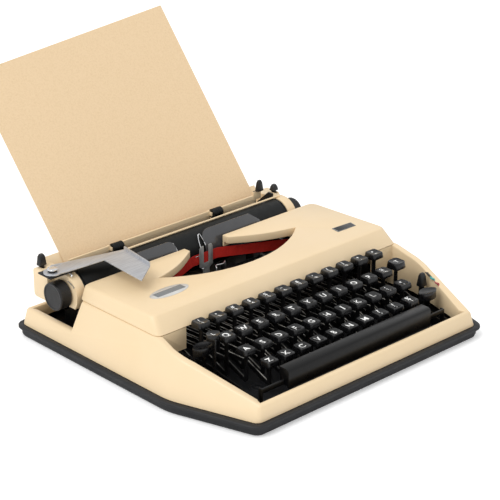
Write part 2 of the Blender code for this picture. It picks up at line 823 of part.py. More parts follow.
def body_shell():
    """Hollow rim swept round the whole plan: low front lip, rising arms, shoulders and rear deck."""
    stations = shell_stations()
    plan = [Vector(shell_point(station, 0.0)) for station in stations]
    count = len(stations)
    rings = []
    for i, station in enumerate(stations):
        before = plan[i] - plan[i - 1]
        after = plan[(i + 1) % count] - plan[i]
        a = Vector((before.y, -before.x)).normalized()
        b = Vector((after.y, -after.x)).normalized()
        rings.append(shell_section(station, abs((a + b).normalized().x)))
    shell = skin("body_shell", rings, closed=True)
    front = back(BULKHEAD_FRONT)
    top = SHELL_ARM_HEIGHT - GAP
    for side in (-1.0, 1.0):
        low = min(side * BULKHEAD_INNER, side * BULKHEAD_OUTER)
        high = max(side * BULKHEAD_INNER, side * BULKHEAD_OUTER)
        joined(shell, box("bulkhead", (low, front, BULKHEAD_BOTTOM), (high, front + SHELL_WALL, top)))
    part(shell, "body_shell", beige_enamel())


def cover_rings(inset, drop, foot):
    """Rings of the cover's outer skin, or of its hollow when inset and lowered."""
    def top_height(y):
        share = (y - back(COVER_FRONT)) / (COVER_REAR - COVER_FRONT)
        return COVER_TOP_FRONT + (COVER_TOP_REAR - COVER_TOP_FRONT) * share - drop

    def ring(side, front, height_share, lower):
        corner = COVER_CORNER_RADIUS
        half = COVER_HALF_WIDTH - inset - side
        near = back(COVER_FRONT) + inset + front
        far = back(COVER_REAR) - inset
        corners = [(half, near, corner), (half, far, corner), (-half, far, corner), (-half, near, corner)]
        points = []
        for x, y in rounded_outline(corners, 3):
            crown = top_height(y)
            points.append((x, y, foot + (crown - foot) * height_share - lower))
        return points

    side_in = COVER_HALF_WIDTH - COVER_TOP_HALF_WIDTH
    edge = COVER_EDGE_ROUND
    return [
        ring(0.0, 0.0, 0.0, 0.0),
        ring(side_in - edge * 0.3, COVER_FACE_SLOPE - edge * 0.4, 1.0, edge),
        ring(side_in, COVER_FACE_SLOPE, 1.0, edge * 0.35),
        ring(side_in + edge, COVER_FACE_SLOPE + edge, 1.0, 0.0),
    ]


def crescent_outline():
    """Plan of the opening in the cover: a bowed front and a slot between two prongs to the rear."""
    half = CRESCENT_HALF_WIDTH
    corner_y = back(CRESCENT_CORNER)
    bow = CRESCENT_CORNER - CRESCENT_FRONT
    radius = (half * half + bow * bow) / (2.0 * bow)
    centre = (0.0, back(CRESCENT_FRONT) + radius)
    sweep = math.asin(half / radius)
    front = arc_points(centre, radius, -math.pi / 2.0 - sweep, -math.pi / 2.0 + sweep, 16)
    right = []
    tip = (PRONG_TIP_X, back(PRONG_TIP))
    root = (half, corner_y)
    for i in range(1, 8):
        share = i / 8.0
        bulge = PRONG_SAG * math.sin(math.pi * share)
        x = root[0] + (tip[0] - root[0]) * share
        y = root[1] + (tip[1] - root[1]) * share - bulge
        right.append((x, y))
    right.append(tip)
    right.append((PRONG_TIP_X, back(COVER_REAR) + CUT_OVERRUN))
    left = [(-x, y) for x, y in reversed(right)]
    return front + right + left


def ribbon_cover():
    """Thin hinged lid with a crescent opening whose edge turns down as a wall."""
    foot = SHELL_ARM_HEIGHT + GAP
    cover = skin("ribbon_cover", cover_rings(0.0, 0.0, foot))
    hollow = skin("cover_hollow", cover_rings(COVER_WALL, COVER_WALL, foot - CUT_OVERRUN))
    opening = crescent_outline()
    lip = offset_outline(opening, COVER_WALL)
    lip_bottom = COVER_TOP_REAR - CRESCENT_LIP
    above = COVER_TOP_FRONT + CUT_OVERRUN
    cut(hollow, prism("lip", lip, 'Z', lip_bottom, above))
    cut(cover, hollow)
    cut(cover, prism("opening", opening, 'Z', foot - CUT_OVERRUN, above))
    origin = (0.0, back(COVER_REAR), COVER_TOP_REAR - COVER_HINGE_DROP)
    part(cover, "ribbon_cover", beige_enamel(), origin)


# Chassis

def chassis_frame():
    """Two side plates on the pan, tied by a front bar, a back wall, a rail beam and spool decks."""
    foot = PAN_FLOOR + GAP
    outline = [
        (back(CHASSIS_FRONT), foot), (back(CHASSIS_REAR), foot),
        (back(CHASSIS_REAR), CHASSIS_TAIL_HEIGHT), (back(CHASSIS_TAIL_START), CHASSIS_TAIL_HEIGHT),
        (back(CHASSIS_TAIL_START), CHASSIS_TOP), (back(CHASSIS_STEP), CHASSIS_TOP),
        (back(CHASSIS_STEP) - CHASSIS_TOP + CHASSIS_LOW_HEIGHT, CHASSIS_LOW_HEIGHT),
        (back(CHASSIS_FRONT), CHASSIS_LOW_HEIGHT),
    ]
    outer = CHASSIS_HALF_WIDTH
    inner = outer - CHASSIS_PLATE
    frame = prism("frame", outline, 'X', inner, outer)
    joined(frame, prism("side", outline, 'X', -outer, -inner))
    reach = inner + CHASSIS_PLATE / 2.0
    front = back(CHASSIS_FRONT)
    joined(frame, box("bar", (-reach, front, foot), (reach, front + CHASSIS_BAR, foot + CHASSIS_BAR)))
    wall = back(BACK_WALL_FRONT)
    joined(frame, box("wall", (-reach, wall, foot), (reach, wall + CHASSIS_PLATE, BACK_WALL_TOP)))
    beam_half = RAIL_FOOT_WIDTH / 2.0
    beam = back(RAIL_CENTRE)
    beam_top = CHASSIS_TAIL_HEIGHT
    joined(frame, box("beam", (-reach, beam - beam_half, beam_top - CHASSIS_BAR),
                      (reach, beam + beam_half, beam_top)))
    bridge_bottom = PIVOT_HEIGHT + PIVOT_ROD_RADIUS + GAP + LEVER_EYE_WALL + GAP * 2.0
    joined(frame, box("bridge", (-BRIDGE_HALF_WIDTH, back(BRIDGE_FRONT), bridge_bottom),
                      (BRIDGE_HALF_WIDTH, wall + CHASSIS_PLATE / 2.0, bridge_bottom + BRIDGE_THICKNESS)))
    deck_back = back(SPOOL_BACK)
    for side in (-1.0, 1.0):
        x_in = SPOOL_X - SPOOL_DECK_HALF
        low = min(side * x_in, side * reach)
        high = max(side * x_in, side * reach)
        joined(frame, box("deck", (low, deck_back - SPOOL_DECK_HALF, CHASSIS_TOP - CHASSIS_PLATE),
                          (high, deck_back + SPOOL_DECK_HALF, CHASSIS_TOP)))
        spindle_top = CHASSIS_TOP + SPOOL_HEIGHT
        start = (side * SPOOL_X, deck_back, CHASSIS_TOP - CHASSIS_PLATE / 2.0)
        end = (side * SPOOL_X, deck_back, spindle_top)
        joined(frame, cylinder("spindle", SPINDLE_RADIUS, start, end, 'Z', 10))
        post = side * HOLDER_POST_X
        half = HOLDER_POST_WIDTH / 2.0
        joined(frame, box("post", (post - half, wall, BACK_WALL_TOP - CHASSIS_PLATE),
                          (post + half, wall + CHASSIS_PLATE, HOLDER_BAR_BOTTOM - GAP)))
    joined(frame, key_pivot_rod(), carriage_rail())
    part(frame, "chassis_frame", dark_steel())


def key_pivot_rod():
    """Rod between both side plates on which every key lever turns."""
    reach = CHASSIS_HALF_WIDTH - CHASSIS_PLATE / 2.0
    y = back(PIVOT_BACK)
    return cylinder("rod", PIVOT_ROD_RADIUS, (-reach, y, PIVOT_HEIGHT), (reach, y, PIVOT_HEIGHT), 'X', 12)


def carriage_rail():
    """Rail on the chassis beam: a flat foot and a narrower head that the channel straddles."""
    foot = CHASSIS_TAIL_HEIGHT - CHASSIS_BAR / 2.0
    half_foot = RAIL_FOOT_WIDTH / 2.0 - GAP
    half_head = RAIL_HEAD_WIDTH / 2.0
    centre = back(RAIL_CENTRE)
    step = CHASSIS_TAIL_HEIGHT + RAIL_FOOT_HEIGHT
    top = step + RAIL_HEAD_HEIGHT
    outline = [
        (centre - half_foot, foot), (centre + half_foot, foot), (centre + half_foot, step),
        (centre + half_head, step), (centre + half_head, top), (centre - half_head, top),
        (centre - half_head, step), (centre - half_foot, step),
    ]
    return prism("rail", outline, 'X', -RAIL_HALF_LENGTH, RAIL_HALF_LENGTH)


# Keyboard

ROWS = {
    "number": (NUMBER_ROW_BACK, NUMBER_ROW_RISE, -NUMBER_STAGGER),
    "q": (0.0, 0.0, 0.0),
    "a": (-A_ROW_FORWARD, -A_ROW_DROP, A_STAGGER),
    "z": (-Z_ROW_FORWARD, -Z_ROW_DROP, Z_STAGGER),
}
ROW_KEYS = {
    "q": ["q", "w", "e", "r", "t", "y", "u", "i", "o", "p"],
    "a": ["a", "s", "d", "f", "g", "h", "j", "k", "l", "semicolon", "quote"],
    "z": ["z", "x", "c", "v", "b", "n", "m", "comma", "period", "slash"],
}
NUMBER_KEY_COUNT = 12


def key_place(row, column):
    """Centre of a cap's top."""
    step_back, step_up, stagger = ROWS[row]
    x = Q_KEY_X + stagger + column * KEY_PITCH
    return x, back(Q_ROW_BACK) + step_back, Q_ROW_HEIGHT + step_up


def cap_ring(x, y, z, width, depth, corner):
    corners = [
        (x + width / 2.0, y - depth / 2.0, corner), (x + width / 2.0, y + depth / 2.0, corner),
        (x - width / 2.0, y + depth / 2.0, corner), (x - width / 2.0, y - depth / 2.0, corner),
    ]
    return [(a, b, z) for a, b in rounded_outline(corners, 2)]


def key_cap(x, y, top, width, depth, height):
    """Rounded square cap with sloping sides and a dished top."""
    flare = (CAP_BASE_WIDTH - CAP_TOP_WIDTH)
    corner = width * CAP_CORNER_SHARE
    rings = [
        cap_ring(x, y, top - height, width + flare, depth + flare, corner),
        cap_ring(x, y, top, width, depth, corner),
        cap_ring(x, y, top - CAP_DISH, width - CAP_RIM * 2.0, depth - CAP_RIM * 2.0,
                 corner - CAP_RIM * 0.8),
    ]
    return skin("cap", rings)


def lens_cap(x, y, top, width, depth, height):
    """Wide cap with pointed ends, as on the shift keys."""
    bow = depth / 2.0
    radius = (width * width / 4.0 + bow * bow) / (2.0 * bow)
    sweep = math.asin(min(width / 2.0 / radius, 1.0))
    near = arc_points((x, y - bow + radius), radius, -math.pi / 2.0 - sweep, -math.pi / 2.0 + sweep, 8)
    far = arc_points((x, y + bow - radius), radius, math.pi / 2.0 - sweep, math.pi / 2.0 + sweep, 8)
    outline = near[:-1] + far[:-1]

    def ring(z, share):
        return [(x + (a - x) * share, y + (b - y) * share, z) for a, b in outline]

    inner_share = 1.0 - CAP_RIM * 2.0 / depth
    rings = [ring(top - height, 1.0), ring(top, 1.0), ring(top - CAP_DISH, inner_share)]
    return skin("cap", rings)


def lever_blade(x, thickness, stem_y, stem_top, crest_reach=LEVER_CREST_REACH):
    """Flat lever hooked on the pivot rod: it rises to a crest, then slopes down to the cap's stem."""
    half = LEVER_HEIGHT / 2.0
    pivot = back(PIVOT_BACK)
    bore = PIVOT_ROD_RADIUS + GAP
    eye = bore + LEVER_EYE_WALL
    stem_half = STEM_DEPTH / 2.0
    crest_y = stem_y + crest_reach
    crest = PIVOT_HEIGHT + LEVER_CREST_RISE
    foot = PIVOT_HEIGHT - LEVER_FOOT_DROP
    mouth = LEVER_HOOK_HALF_ANGLE
    down = -math.pi / 2.0
    low_angle = math.asin(half / eye)
    centre = (pivot, PIVOT_HEIGHT)
    outline = [
        (stem_y - stem_half, stem_top), (stem_y - stem_half, foot),
        (stem_y, foot - half), (stem_y + stem_half, foot - half), (crest_y, crest - half),
    ]
    outline += arc_points(centre, eye, math.pi + low_angle, down + math.tau - mouth, 2)
    outline += arc_points(centre, bore, down + math.tau - mouth, down + mouth, 10)
    outline += arc_points(centre, eye, down + mouth, math.pi - low_angle, 7)
    outline += [(crest_y, crest + half), (stem_y + stem_half, foot + half), (stem_y + stem_half, stem_top)]
    return prism("blade", outline, 'X', x - thickness / 2.0, x + thickness / 2.0)


def pivot_point(x=0.0):
    return (x, back(PIVOT_BACK), PIVOT_HEIGHT)


def letter_keys():
    """One key for each letter and mark. The keys of one row share their mesh."""
    for row, names in ROW_KEYS.items():
        x, y, top = key_place(row, 0)
        first = key_cap(0.0, y, top, CAP_TOP_WIDTH, CAP_TOP_WIDTH, CAP_HEIGHT)
        joined(first, lever_blade(0.0, LEVER_THICKNESS, y, top - CAP_HEIGHT / 2.0))
        part(first, "key_" + names[0], gloss_black(), pivot_point())
        first.location.x = x
        for column in range(1, len(names)):
            key = first.copy()
            key.name = "key_" + names[column]
            key.location.x = key_place(row, column)[0]
            PARTS.objects.link(key)


def figure_keys():
    """The figure row and the key beyond P, tied by one bar behind their stems."""
    x, y, top = key_place("number", 0)
    places = [key_place("number", column) for column in range(NUMBER_KEY_COUNT)]
    places.append(key_place("q", len(ROW_KEYS["q"])))
    bar_y = y + BANK_BAR_BACK - BANK_BAR_SIZE / 2.0
    last_x = key_place("number", NUMBER_KEY_COUNT - 1)[0]
    half = BANK_BAR_SIZE / 2.0
    bank = box("bank", (x - LEVER_THICKNESS, bar_y, BANK_BAR_HEIGHT - half),
               (last_x + LEVER_THICKNESS, bar_y + BANK_BAR_SIZE, BANK_BAR_HEIGHT + half))
    for key_x, key_y, key_top in places:
        blade = lever_blade(key_x, LEVER_THICKNESS, key_y, key_top - CAP_HEIGHT / 2.0)
        cap = key_cap(key_x, key_y, key_top, CAP_TOP_WIDTH, CAP_TOP_WIDTH, CAP_HEIGHT)
        joined(bank, joined(cap, blade))
    link_x = places[-1][0]
    link = box("link", (link_x - LEVER_THICKNESS / 2.0, places[-1][1], BANK_BAR_HEIGHT - half),
               (link_x + LEVER_THICKNESS / 2.0, bar_y + half, BANK_BAR_HEIGHT + half))
    joined(bank, link)
    part(bank, "figure_keys", gloss_black(), pivot_point())


def space_bar():
    """Hollow bar across the front, carried by two arms that turn on the key pivot rod."""
    front = back(SPACE_FRONT)
    rear = front + SPACE_DEPTH
    low = SPACE_TOP - SPACE_HEIGHT
    wall = SPACE_WALL
    outline = [(front, low), (front + wall, low), (front + wall, SPACE_TOP - wall - wall),
               (rear - wall, SPACE_TOP - wall), (rear - wall, SPACE_TOP - SPACE_HEIGHT / 2.0),
               (rear, SPACE_TOP - SPACE_HEIGHT / 2.0), (rear, SPACE_TOP)]
    outline += [(front + SPACE_ROUND, SPACE_TOP), (front + SPACE_ROUND * 0.3, SPACE_TOP - SPACE_ROUND * 0.3),
                (front, SPACE_TOP - SPACE_ROUND)]
    bar = prism("bar", outline, 'X', -SPACE_HALF_WIDTH, SPACE_HALF_WIDTH)
    for side in (-1.0, 1.0):
        x_end = side * SPACE_HALF_WIDTH
        cheek = box("cheek", (min(x_end, x_end - side * wall), front + wall / 2.0, low + wall),
                    (max(x_end, x_end - side * wall), rear - wall / 2.0, SPACE_TOP - wall / 2.0))
        joined(bar, cheek)
    tie_low = low + wall
    tie_back = front + SPACE_DEPTH / 2.0
    tie_top = tie_low + LEVER_HEIGHT
    tie = box("tie", (-SPACE_ARM_X, tie_back, tie_low), (SPACE_ARM_X, tie_back + wall, tie_top))
    joined(bar, tie)
    for side in (-1.0, 1.0):
        stem_top = tie_low + LEVER_HEIGHT
        blade = lever_blade(side * SPACE_ARM_X, SPACE_ARM_THICKNESS, tie_back + STEM_DEPTH / 2.0, stem_top,
                            SPACE_CREST_REACH)
        joined(bar, blade)
    part(bar, "space_bar", gloss_black(), pivot_point())


def shift_bar():
    """Both shift keys on one frame: two arms and the torque tube that ties them."""
    left_y = back(SHIFT_LEFT_BACK)
    right_y = back(SHIFT_RIGHT_BACK)
    left = lens_cap(SHIFT_LEFT_X, left_y, SHIFT_LEFT_TOP, SHIFT_CAP_WIDTH, SHIFT_CAP_DEPTH, SHIFT_CAP_HEIGHT)
    stem_top = SHIFT_LEFT_TOP - SHIFT_CAP_HEIGHT / 2.0
    joined(left, lever_blade(-SHIFT_ARM_X, SHIFT_ARM_THICKNESS, left_y, stem_top))
    right = lens_cap(
        SHIFT_RIGHT_X, right_y, SHIFT_RIGHT_TOP, SHIFT_CAP_WIDTH, SHIFT_CAP_DEPTH, SHIFT_CAP_HEIGHT)
    stem_top = SHIFT_RIGHT_TOP - SHIFT_CAP_HEIGHT / 2.0
    joined(right, lever_blade(SHIFT_ARM_X, SHIFT_ARM_THICKNESS, right_y, stem_top))
    eye_rear = back(PIVOT_BACK) + PIVOT_ROD_RADIUS + GAP + LEVER_EYE_WALL
    half = LEVER_EYE_WALL / 2.0
    reach = SHIFT_ARM_X + SHIFT_ARM_THICKNESS / 2.0
    rear = eye_rear + SHIFT_TUBE_GAP + LEVER_EYE_WALL
    tube = box("tube", (-reach, eye_rear + SHIFT_TUBE_GAP, PIVOT_HEIGHT - half),
               (reach, rear, PIVOT_HEIGHT + half))
    joined(left, right, tube)
    for side in (-1.0, 1.0):
        tail_x = side * SHIFT_ARM_X
        tail_half = SHIFT_ARM_THICKNESS / 2.0
        joined(left, box("tail", (tail_x - tail_half, eye_rear - LEVER_EYE_WALL / 2.0, PIVOT_HEIGHT - half),
                         (tail_x + tail_half, rear, PIVOT_HEIGHT + half)))
    part(left, "shift_bar", gloss_black(), pivot_point())


def shift_lock():
    """Small key above the left shift key, on its own lever in front of it."""
    cap = lens_cap(LOCK_X, back(LOCK_BACK), LOCK_TOP, LOCK_WIDTH, LOCK_DEPTH, LOCK_CAP_HEIGHT)
    arm_x = -(SPACE_ARM_X + SHIFT_ARM_X) / 2.0
    joined(cap, lever_blade(arm_x, LEVER_THICKNESS, back(LOCK_STEM_BACK), LOCK_TOP - LOCK_CAP_HEIGHT / 2.0))
    part(cap, "shift_lock", gloss_black(), pivot_point())


def tab_key():
    """Round-cornered key at the right end of the second row, on its own lever."""
    y = back(TAB_BACK)
    cap = key_cap(TAB_X, y, TAB_TOP, TAB_WIDTH, TAB_WIDTH, SIDE_CAP_HEIGHT)
    arm_x = (SPACE_ARM_X + SHIFT_ARM_X) / 2.0
    joined(cap, lever_blade(arm_x, LEVER_THICKNESS, y, TAB_TOP - SIDE_CAP_HEIGHT / 2.0))
    part(cap, "tab_key", gloss_black(), pivot_point())


def ribbon_selector():
    """Small upright lever at the right of the keyboard, hinged on the side plate."""
    y = back(SELECTOR_BACK)
    half = SELECTOR_PLATE / 2.0
    foot = SELECTOR_PIVOT_HEIGHT
    depth = SELECTOR_KNOB_DEPTH / 2.0
    knob_low = SELECTOR_TOP - SELECTOR_KNOB_HEIGHT
    stem = box("stem", (SELECTOR_X - half, y - depth, foot - depth),
               (SELECTOR_X + half, y + depth, knob_low + depth))
    wide = SELECTOR_KNOB_WIDTH / 2.0
    rings = [
        cap_ring(SELECTOR_X, y, knob_low, wide * 2.0, depth * 2.4, depth * 0.5),
        cap_ring(SELECTOR_X, y, SELECTOR_TOP - depth, wide * 1.5, depth * 1.8, depth * 0.5),
        cap_ring(SELECTOR_X, y, SELECTOR_TOP, wide, depth, depth * 0.3),
    ]
    joined(stem, skin("knob", rings))
    pin_start = CHASSIS_HALF_WIDTH + GAP
    joined(stem, cylinder("pin", depth / 2.0, (pin_start, y, foot), (SELECTOR_X, y, foot), 'X', 10))
    part(stem, "ribbon_selector", black_plastic(), (SELECTOR_X, y, foot))


# Type basket

def fan_polar(radius, angle):
    """Plan point at a radius and an angle from straight ahead, about the print point."""
    return (radius * math.sin(angle), back(FAN_CENTRE) - radius * math.cos(angle))


def fan_angles():
    step = 2.0 * FAN_HALF_ANGLE / (FAN_BAR_COUNT - 1)
    return [-FAN_HALF_ANGLE + step * i for i in range(FAN_BAR_COUNT)]


def type_bar_outline():
    """Toothed plan of the resting type bars: thin fingers with wider heads, none in the middle."""
    middle = FAN_BAR_COUNT // 2
    points = []
    root = SEGMENT_OUTER_RADIUS - SEGMENT_SLOT
    for i, angle in enumerate(fan_angles()):
        if i == middle:
            continue
        stalk = TYPE_BAR_WIDTH / 2.0
        head = TYPE_HEAD_WIDTH / 2.0
        neck = FAN_HEAD_RADIUS - TYPE_HEAD_LENGTH
        for radius, offset in ((root, -stalk), (neck, -stalk), (neck, -head), (FAN_HEAD_RADIUS, -head),
                               (FAN_HEAD_RADIUS, head), (neck, head), (neck, stalk), (root, stalk)):
            points.append(fan_polar(radius, angle + offset / radius))
    inner = SEGMENT_INNER_RADIUS + SEGMENT_SLOT
    for i in range(17):
        angle = FAN_HALF_ANGLE - 2.0 * FAN_HALF_ANGLE * i / 16
        points.append(fan_polar(inner, angle))
    return points


def type_segment():
    """Half-round segment block with the resting type bars fanned out in front of it."""
    outline = type_bar_outline()
    low = FAN_HEIGHT - TYPE_BAR_DEPTH / 2.0
    high = FAN_HEIGHT + TYPE_BAR_DEPTH / 2.0
    fan = prism("fan", outline, 'Z', low, high)
    for vertex in fan.data.vertices:
        radius = math.hypot(vertex.co.x, vertex.co.y - back(FAN_CENTRE))
        vertex.co.z += max(radius - FAN_PIVOT_RADIUS, 0.0) * math.tan(FAN_RISE)
    bridge_bottom = PIVOT_HEIGHT + PIVOT_ROD_RADIUS + GAP + LEVER_EYE_WALL + GAP * 2.0
    foot = bridge_bottom + BRIDGE_THICKNESS + GAP
    top = FAN_HEIGHT + SEGMENT_RISE
    spread = FAN_HALF_ANGLE + TYPE_BAR_WIDTH / SEGMENT_OUTER_RADIUS
    block_outline = []
    for i in range(21):
        block_outline.append(fan_polar(SEGMENT_OUTER_RADIUS, -spread + 2.0 * spread * i / 20))
    for i in range(21):
        block_outline.append(fan_polar(SEGMENT_INNER_RADIUS, spread - 2.0 * spread * i / 20))
    block = prism("block", block_outline, 'Z', foot, top)
    joined(block, fan)
    half_slot = SEGMENT_SLOT / 2.0
    slot_front = back(FAN_CENTRE) - SEGMENT_OUTER_RADIUS - CUT_OVERRUN
    slot_rear = back(FAN_CENTRE) - SEGMENT_INNER_RADIUS - SEGMENT_SLOT
    slot_low = FAN_HEIGHT - TYPE_BAR_DEPTH
    cut(block, box("slot", (-half_slot, slot_front, slot_low), (half_slot, slot_rear, top + CUT_OVERRUN)))
    part(block, "type_segment", dark_steel())


def type_bar():
    """The working type bar, lying forward in the basket, with its slug near the tip."""
    pivot_y = back(FAN_CENTRE) - FAN_PIVOT_RADIUS
    length = FAN_HEAD_RADIUS - FAN_PIVOT_RADIUS
    half = TYPE_BAR_DEPTH / 2.0
    slug = TYPE_SLUG_LENGTH
    face = math.radians(42.0)
    tip = length
    slug_end = (tip - slug * math.sin(face), slug * math.cos(face))
    shape = [
        (-half, -half), (tip - half, -half), (tip, 0.0), slug_end,
        (slug_end[0] - half, slug_end[1] - half), (tip - slug, half), (-half, half),
    ]
    outline = []
    for along, up in shape:
        y = pivot_y - along * math.cos(FAN_RISE) + up * math.sin(FAN_RISE)
        z = FAN_HEIGHT + along * math.sin(FAN_RISE) + up * math.cos(FAN_RISE)
        outline.append((y, z))
    half_width = TYPE_BAR_WIDTH / 2.0
    bar = prism("bar", outline, 'X', -half_width, half_width)
    part(bar, "type_bar", bright_steel(), (0.0, pivot_y, FAN_HEIGHT))


# Ribbon path

def ribbon_spool(name, side):
    """Flanged spool with wound ribbon, turned about its spindle."""
    foot = CHASSIS_TOP + GAP
    height = SPOOL_HEIGHT
    flange = SPOOL_FLANGE
    profile = [
        (SPOOL_BORE, height), (SPOOL_RADIUS, height), (SPOOL_RADIUS, height - flange),
        (SPOOL_HUB_RADIUS, height - flange), (SPOOL_HUB_RADIUS, flange),
        (SPOOL_RADIUS, flange), (SPOOL_RADIUS, 0.0), (SPOOL_BORE, 0.0),
    ]
    centre = (side * SPOOL_X, back(SPOOL_BACK), foot)
    spool = turned(name, profile, 28, centre, 'Z')
    part(spool, name, bright_steel(), centre)


def ribbon():
    """Cloth band that leaves one winding, rises to the print point and drops to the other."""
    half = RIBBON_THICKNESS / 2.0
    y = back(RIBBON_BACK)
    normal = Vector((RIBBON_BACK - SPOOL_BACK, SPOOL_X - RIBBON_STRAIGHT)).normalized()
    side = Vector((SPOOL_X, back(SPOOL_BACK))) + normal * (SPOOL_HUB_RADIUS + GAP + half)
    line = [(-side.x, side.y), (-RIBBON_STRAIGHT, y), (RIBBON_STRAIGHT, y), (side.x, side.y)]
    outer = [(x, b + half) for x, b in reversed(line)]
    inner = [(x, b - half) for x, b in line]
    band = prism("band", inner + outer, 'Z', RIBBON_BOTTOM, RIBBON_BOTTOM + RIBBON_HEIGHT)
    spool_low = CHASSIS_TOP + GAP + (SPOOL_HEIGHT - RIBBON_HEIGHT) / 2.0
    for vertex in band.data.vertices:
        share = max(abs(vertex.co.x) - RIBBON_STRAIGHT, 0.0) / (side.x - RIBBON_STRAIGHT)
        vertex.co.z += (spool_low - RIBBON_BOTTOM) * share
    part(band, "ribbon", ribbon_cloth())


def ribbon_vibrator():
    """Forked plate that lifts the ribbon in front of the type."""
    half = VIBRATOR_HALF_WIDTH
    slot = VIBRATOR_SLOT
    neck = half * 0.5
    waist = RIBBON_BOTTOM - VIBRATOR_SLOT
    outline = [
        (-neck, VIBRATOR_FOOT), (neck, VIBRATOR_FOOT), (neck, waist - slot), (half, waist),
        (half, VIBRATOR_TOP - slot), (half - slot / 2.0, VIBRATOR_TOP), (slot, VIBRATOR_TOP),
        (slot, waist + slot), (-slot, waist + slot), (-slot, VIBRATOR_TOP),
        (-half + slot / 2.0, VIBRATOR_TOP), (-half, VIBRATOR_TOP - slot), (-half, waist),
        (-neck, waist - slot),
    ]
    y = back(VIBRATOR_BACK)
    plate = prism("plate", outline, 'Y', y, y + VIBRATOR_THICKNESS)
    part(plate, "ribbon_vibrator", bright_steel(), (0.0, y, VIBRATOR_FOOT))


def card_holder():
    """Smoky holder on two posts: a flat outline with two wings, bent back over the platen."""
    y = back(HOLDER_BACK)
    low = HOLDER_BAR_BOTTOM
    bar_top = low + HOLDER_BAR_HEIGHT
    top = HOLDER_BEND_HEIGHT + HOLDER_WING_REACH
    corners = [
        (HOLDER_LEFT_OUT, low, 0.0), (HOLDER_RIGHT_OUT, low, 0.0),
        (HOLDER_RIGHT_OUT, top - HOLDER_SLANT_DROP, 0.0), (HOLDER_RIGHT_OUT - HOLDER_SLANT, top, 0.0),
        (HOLDER_RIGHT_IN, top, HOLDER_ROUND), (HOLDER_RIGHT_IN, bar_top, 0.0),
        (HOLDER_LEFT_IN, bar_top, 0.0), (HOLDER_LEFT_IN, top, HOLDER_ROUND),
        (HOLDER_LEFT_OUT, top, HOLDER_ROUND / 4.0),
    ]
    holder = prism("holder", rounded_outline(corners, 4), 'Y', y, y + HOLDER_THICKNESS)
    bend = Vector((0.0, y, HOLDER_BEND_HEIGHT))
    lean = Matrix.Rotation(-HOLDER_LEAN, 3, 'X')
    work = bmesh.new()
    work.from_mesh(holder.data)
    bmesh.ops.bisect_plane(work, geom=work.verts[:] + work.edges[:] + work.faces[:],
                           plane_co=bend, plane_no=(0.0, 0.0, 1.0))
    for vertex in work.verts:
        if vertex.co.z > bend.z + GAP:
            vertex.co = bend + lean @ (vertex.co - bend)
    work.to_mesh(holder.data)
    work.free()
    wall = back(BACK_WALL_FRONT)
    foot = box("foot", (-HOLDER_POST_X - HOLDER_POST_WIDTH / 2.0, wall + CHASSIS_PLATE * 0.9, low),
               (HOLDER_POST_X + HOLDER_POST_WIDTH / 2.0, y + HOLDER_THICKNESS / 2.0, low + HOLDER_THICKNESS))
    part(joined(holder, foot), "card_holder", smoky_plastic())


def carriage_point(x, distance, height):
    """World point from a place along the carriage, a distance from the front edge and a height."""
    return (CARRIAGE_X + x, back(distance), height)


def platen():
    """Rubber roller on its shaft, turned about the X axis."""
    shaft_end = KNOB_FACE_X - KNOB_LENGTH / 3.0
    half = PLATEN_HALF_LENGTH
    edge = PLATEN_SHAFT_RADIUS / 4.0
    profile = [
        (0.0, shaft_end), (PLATEN_SHAFT_RADIUS, shaft_end), (PLATEN_SHAFT_RADIUS, half),
        (PLATEN_RADIUS - edge, half), (PLATEN_RADIUS, half - edge),
        (PLATEN_RADIUS, -half + edge), (PLATEN_RADIUS - edge, -half),
        (PLATEN_SHAFT_RADIUS, -half), (PLATEN_SHAFT_RADIUS, -shaft_end), (0.0, -shaft_end),
    ]
    centre = carriage_point(0.0, PLATEN_BACK, PLATEN_HEIGHT)
    roller = turned("platen", profile, 32, centre, 'X')
    part(roller, "platen", black_rubber(), centre)


def platen_knob(name, side):
    """Black knob with a dished face, bored for the platen shaft."""
    inner = KNOB_FACE_X - KNOB_LENGTH
    bore = PLATEN_SHAFT_RADIUS + GAP
    bore_end = KNOB_FACE_X - KNOB_LENGTH / 3.0 + GAP
    chamfer = KNOB_LENGTH * 0.09
    dish = chamfer * 0.6
    profile = [
        (0.0, KNOB_FACE_X - dish), (KNOB_RADIUS * 0.72, KNOB_FACE_X - dish),
        (KNOB_RADIUS * 0.8, KNOB_FACE_X), (KNOB_RADIUS - chamfer, KNOB_FACE_X),
        (KNOB_RADIUS, KNOB_FACE_X - chamfer), (KNOB_RADIUS, inner + chamfer),
        (KNOB_RADIUS - chamfer, inner), (bore, inner), (bore, bore_end), (0.0, bore_end),
    ]
    centre = carriage_point(0.0, PLATEN_BACK, PLATEN_HEIGHT)
    knob = turned(name, profile, 28, (0.0, 0.0, 0.0), 'X')
    if side < 0.0:
        knob.data.transform(Matrix.Rotation(math.pi, 4, 'Z'))
    knob.data.transform(Matrix.Translation(Vector(centre)))
    part(knob, name, black_plastic(), centre)


def channel_outline():
    """Section of the carriage channel that straddles the rail head."""
    centre = back(RAIL_CENTRE)
    low = CHASSIS_TAIL_HEIGHT + RAIL_FOOT_HEIGHT + GAP * 2.0
    inner = RAIL_HEAD_WIDTH / 2.0 + GAP
    outer = inner + CHANNEL_WALL
    roof = CHASSIS_TAIL_HEIGHT + RAIL_FOOT_HEIGHT + RAIL_HEAD_HEIGHT + GAP
    top = roof + CHANNEL_TOP
    return [
        (centre - outer, low), (centre - inner, low), (centre - inner, roof), (centre + inner, roof),
        (centre + inner, low), (centre + outer, low), (centre + outer, top), (centre - outer, top),
    ]


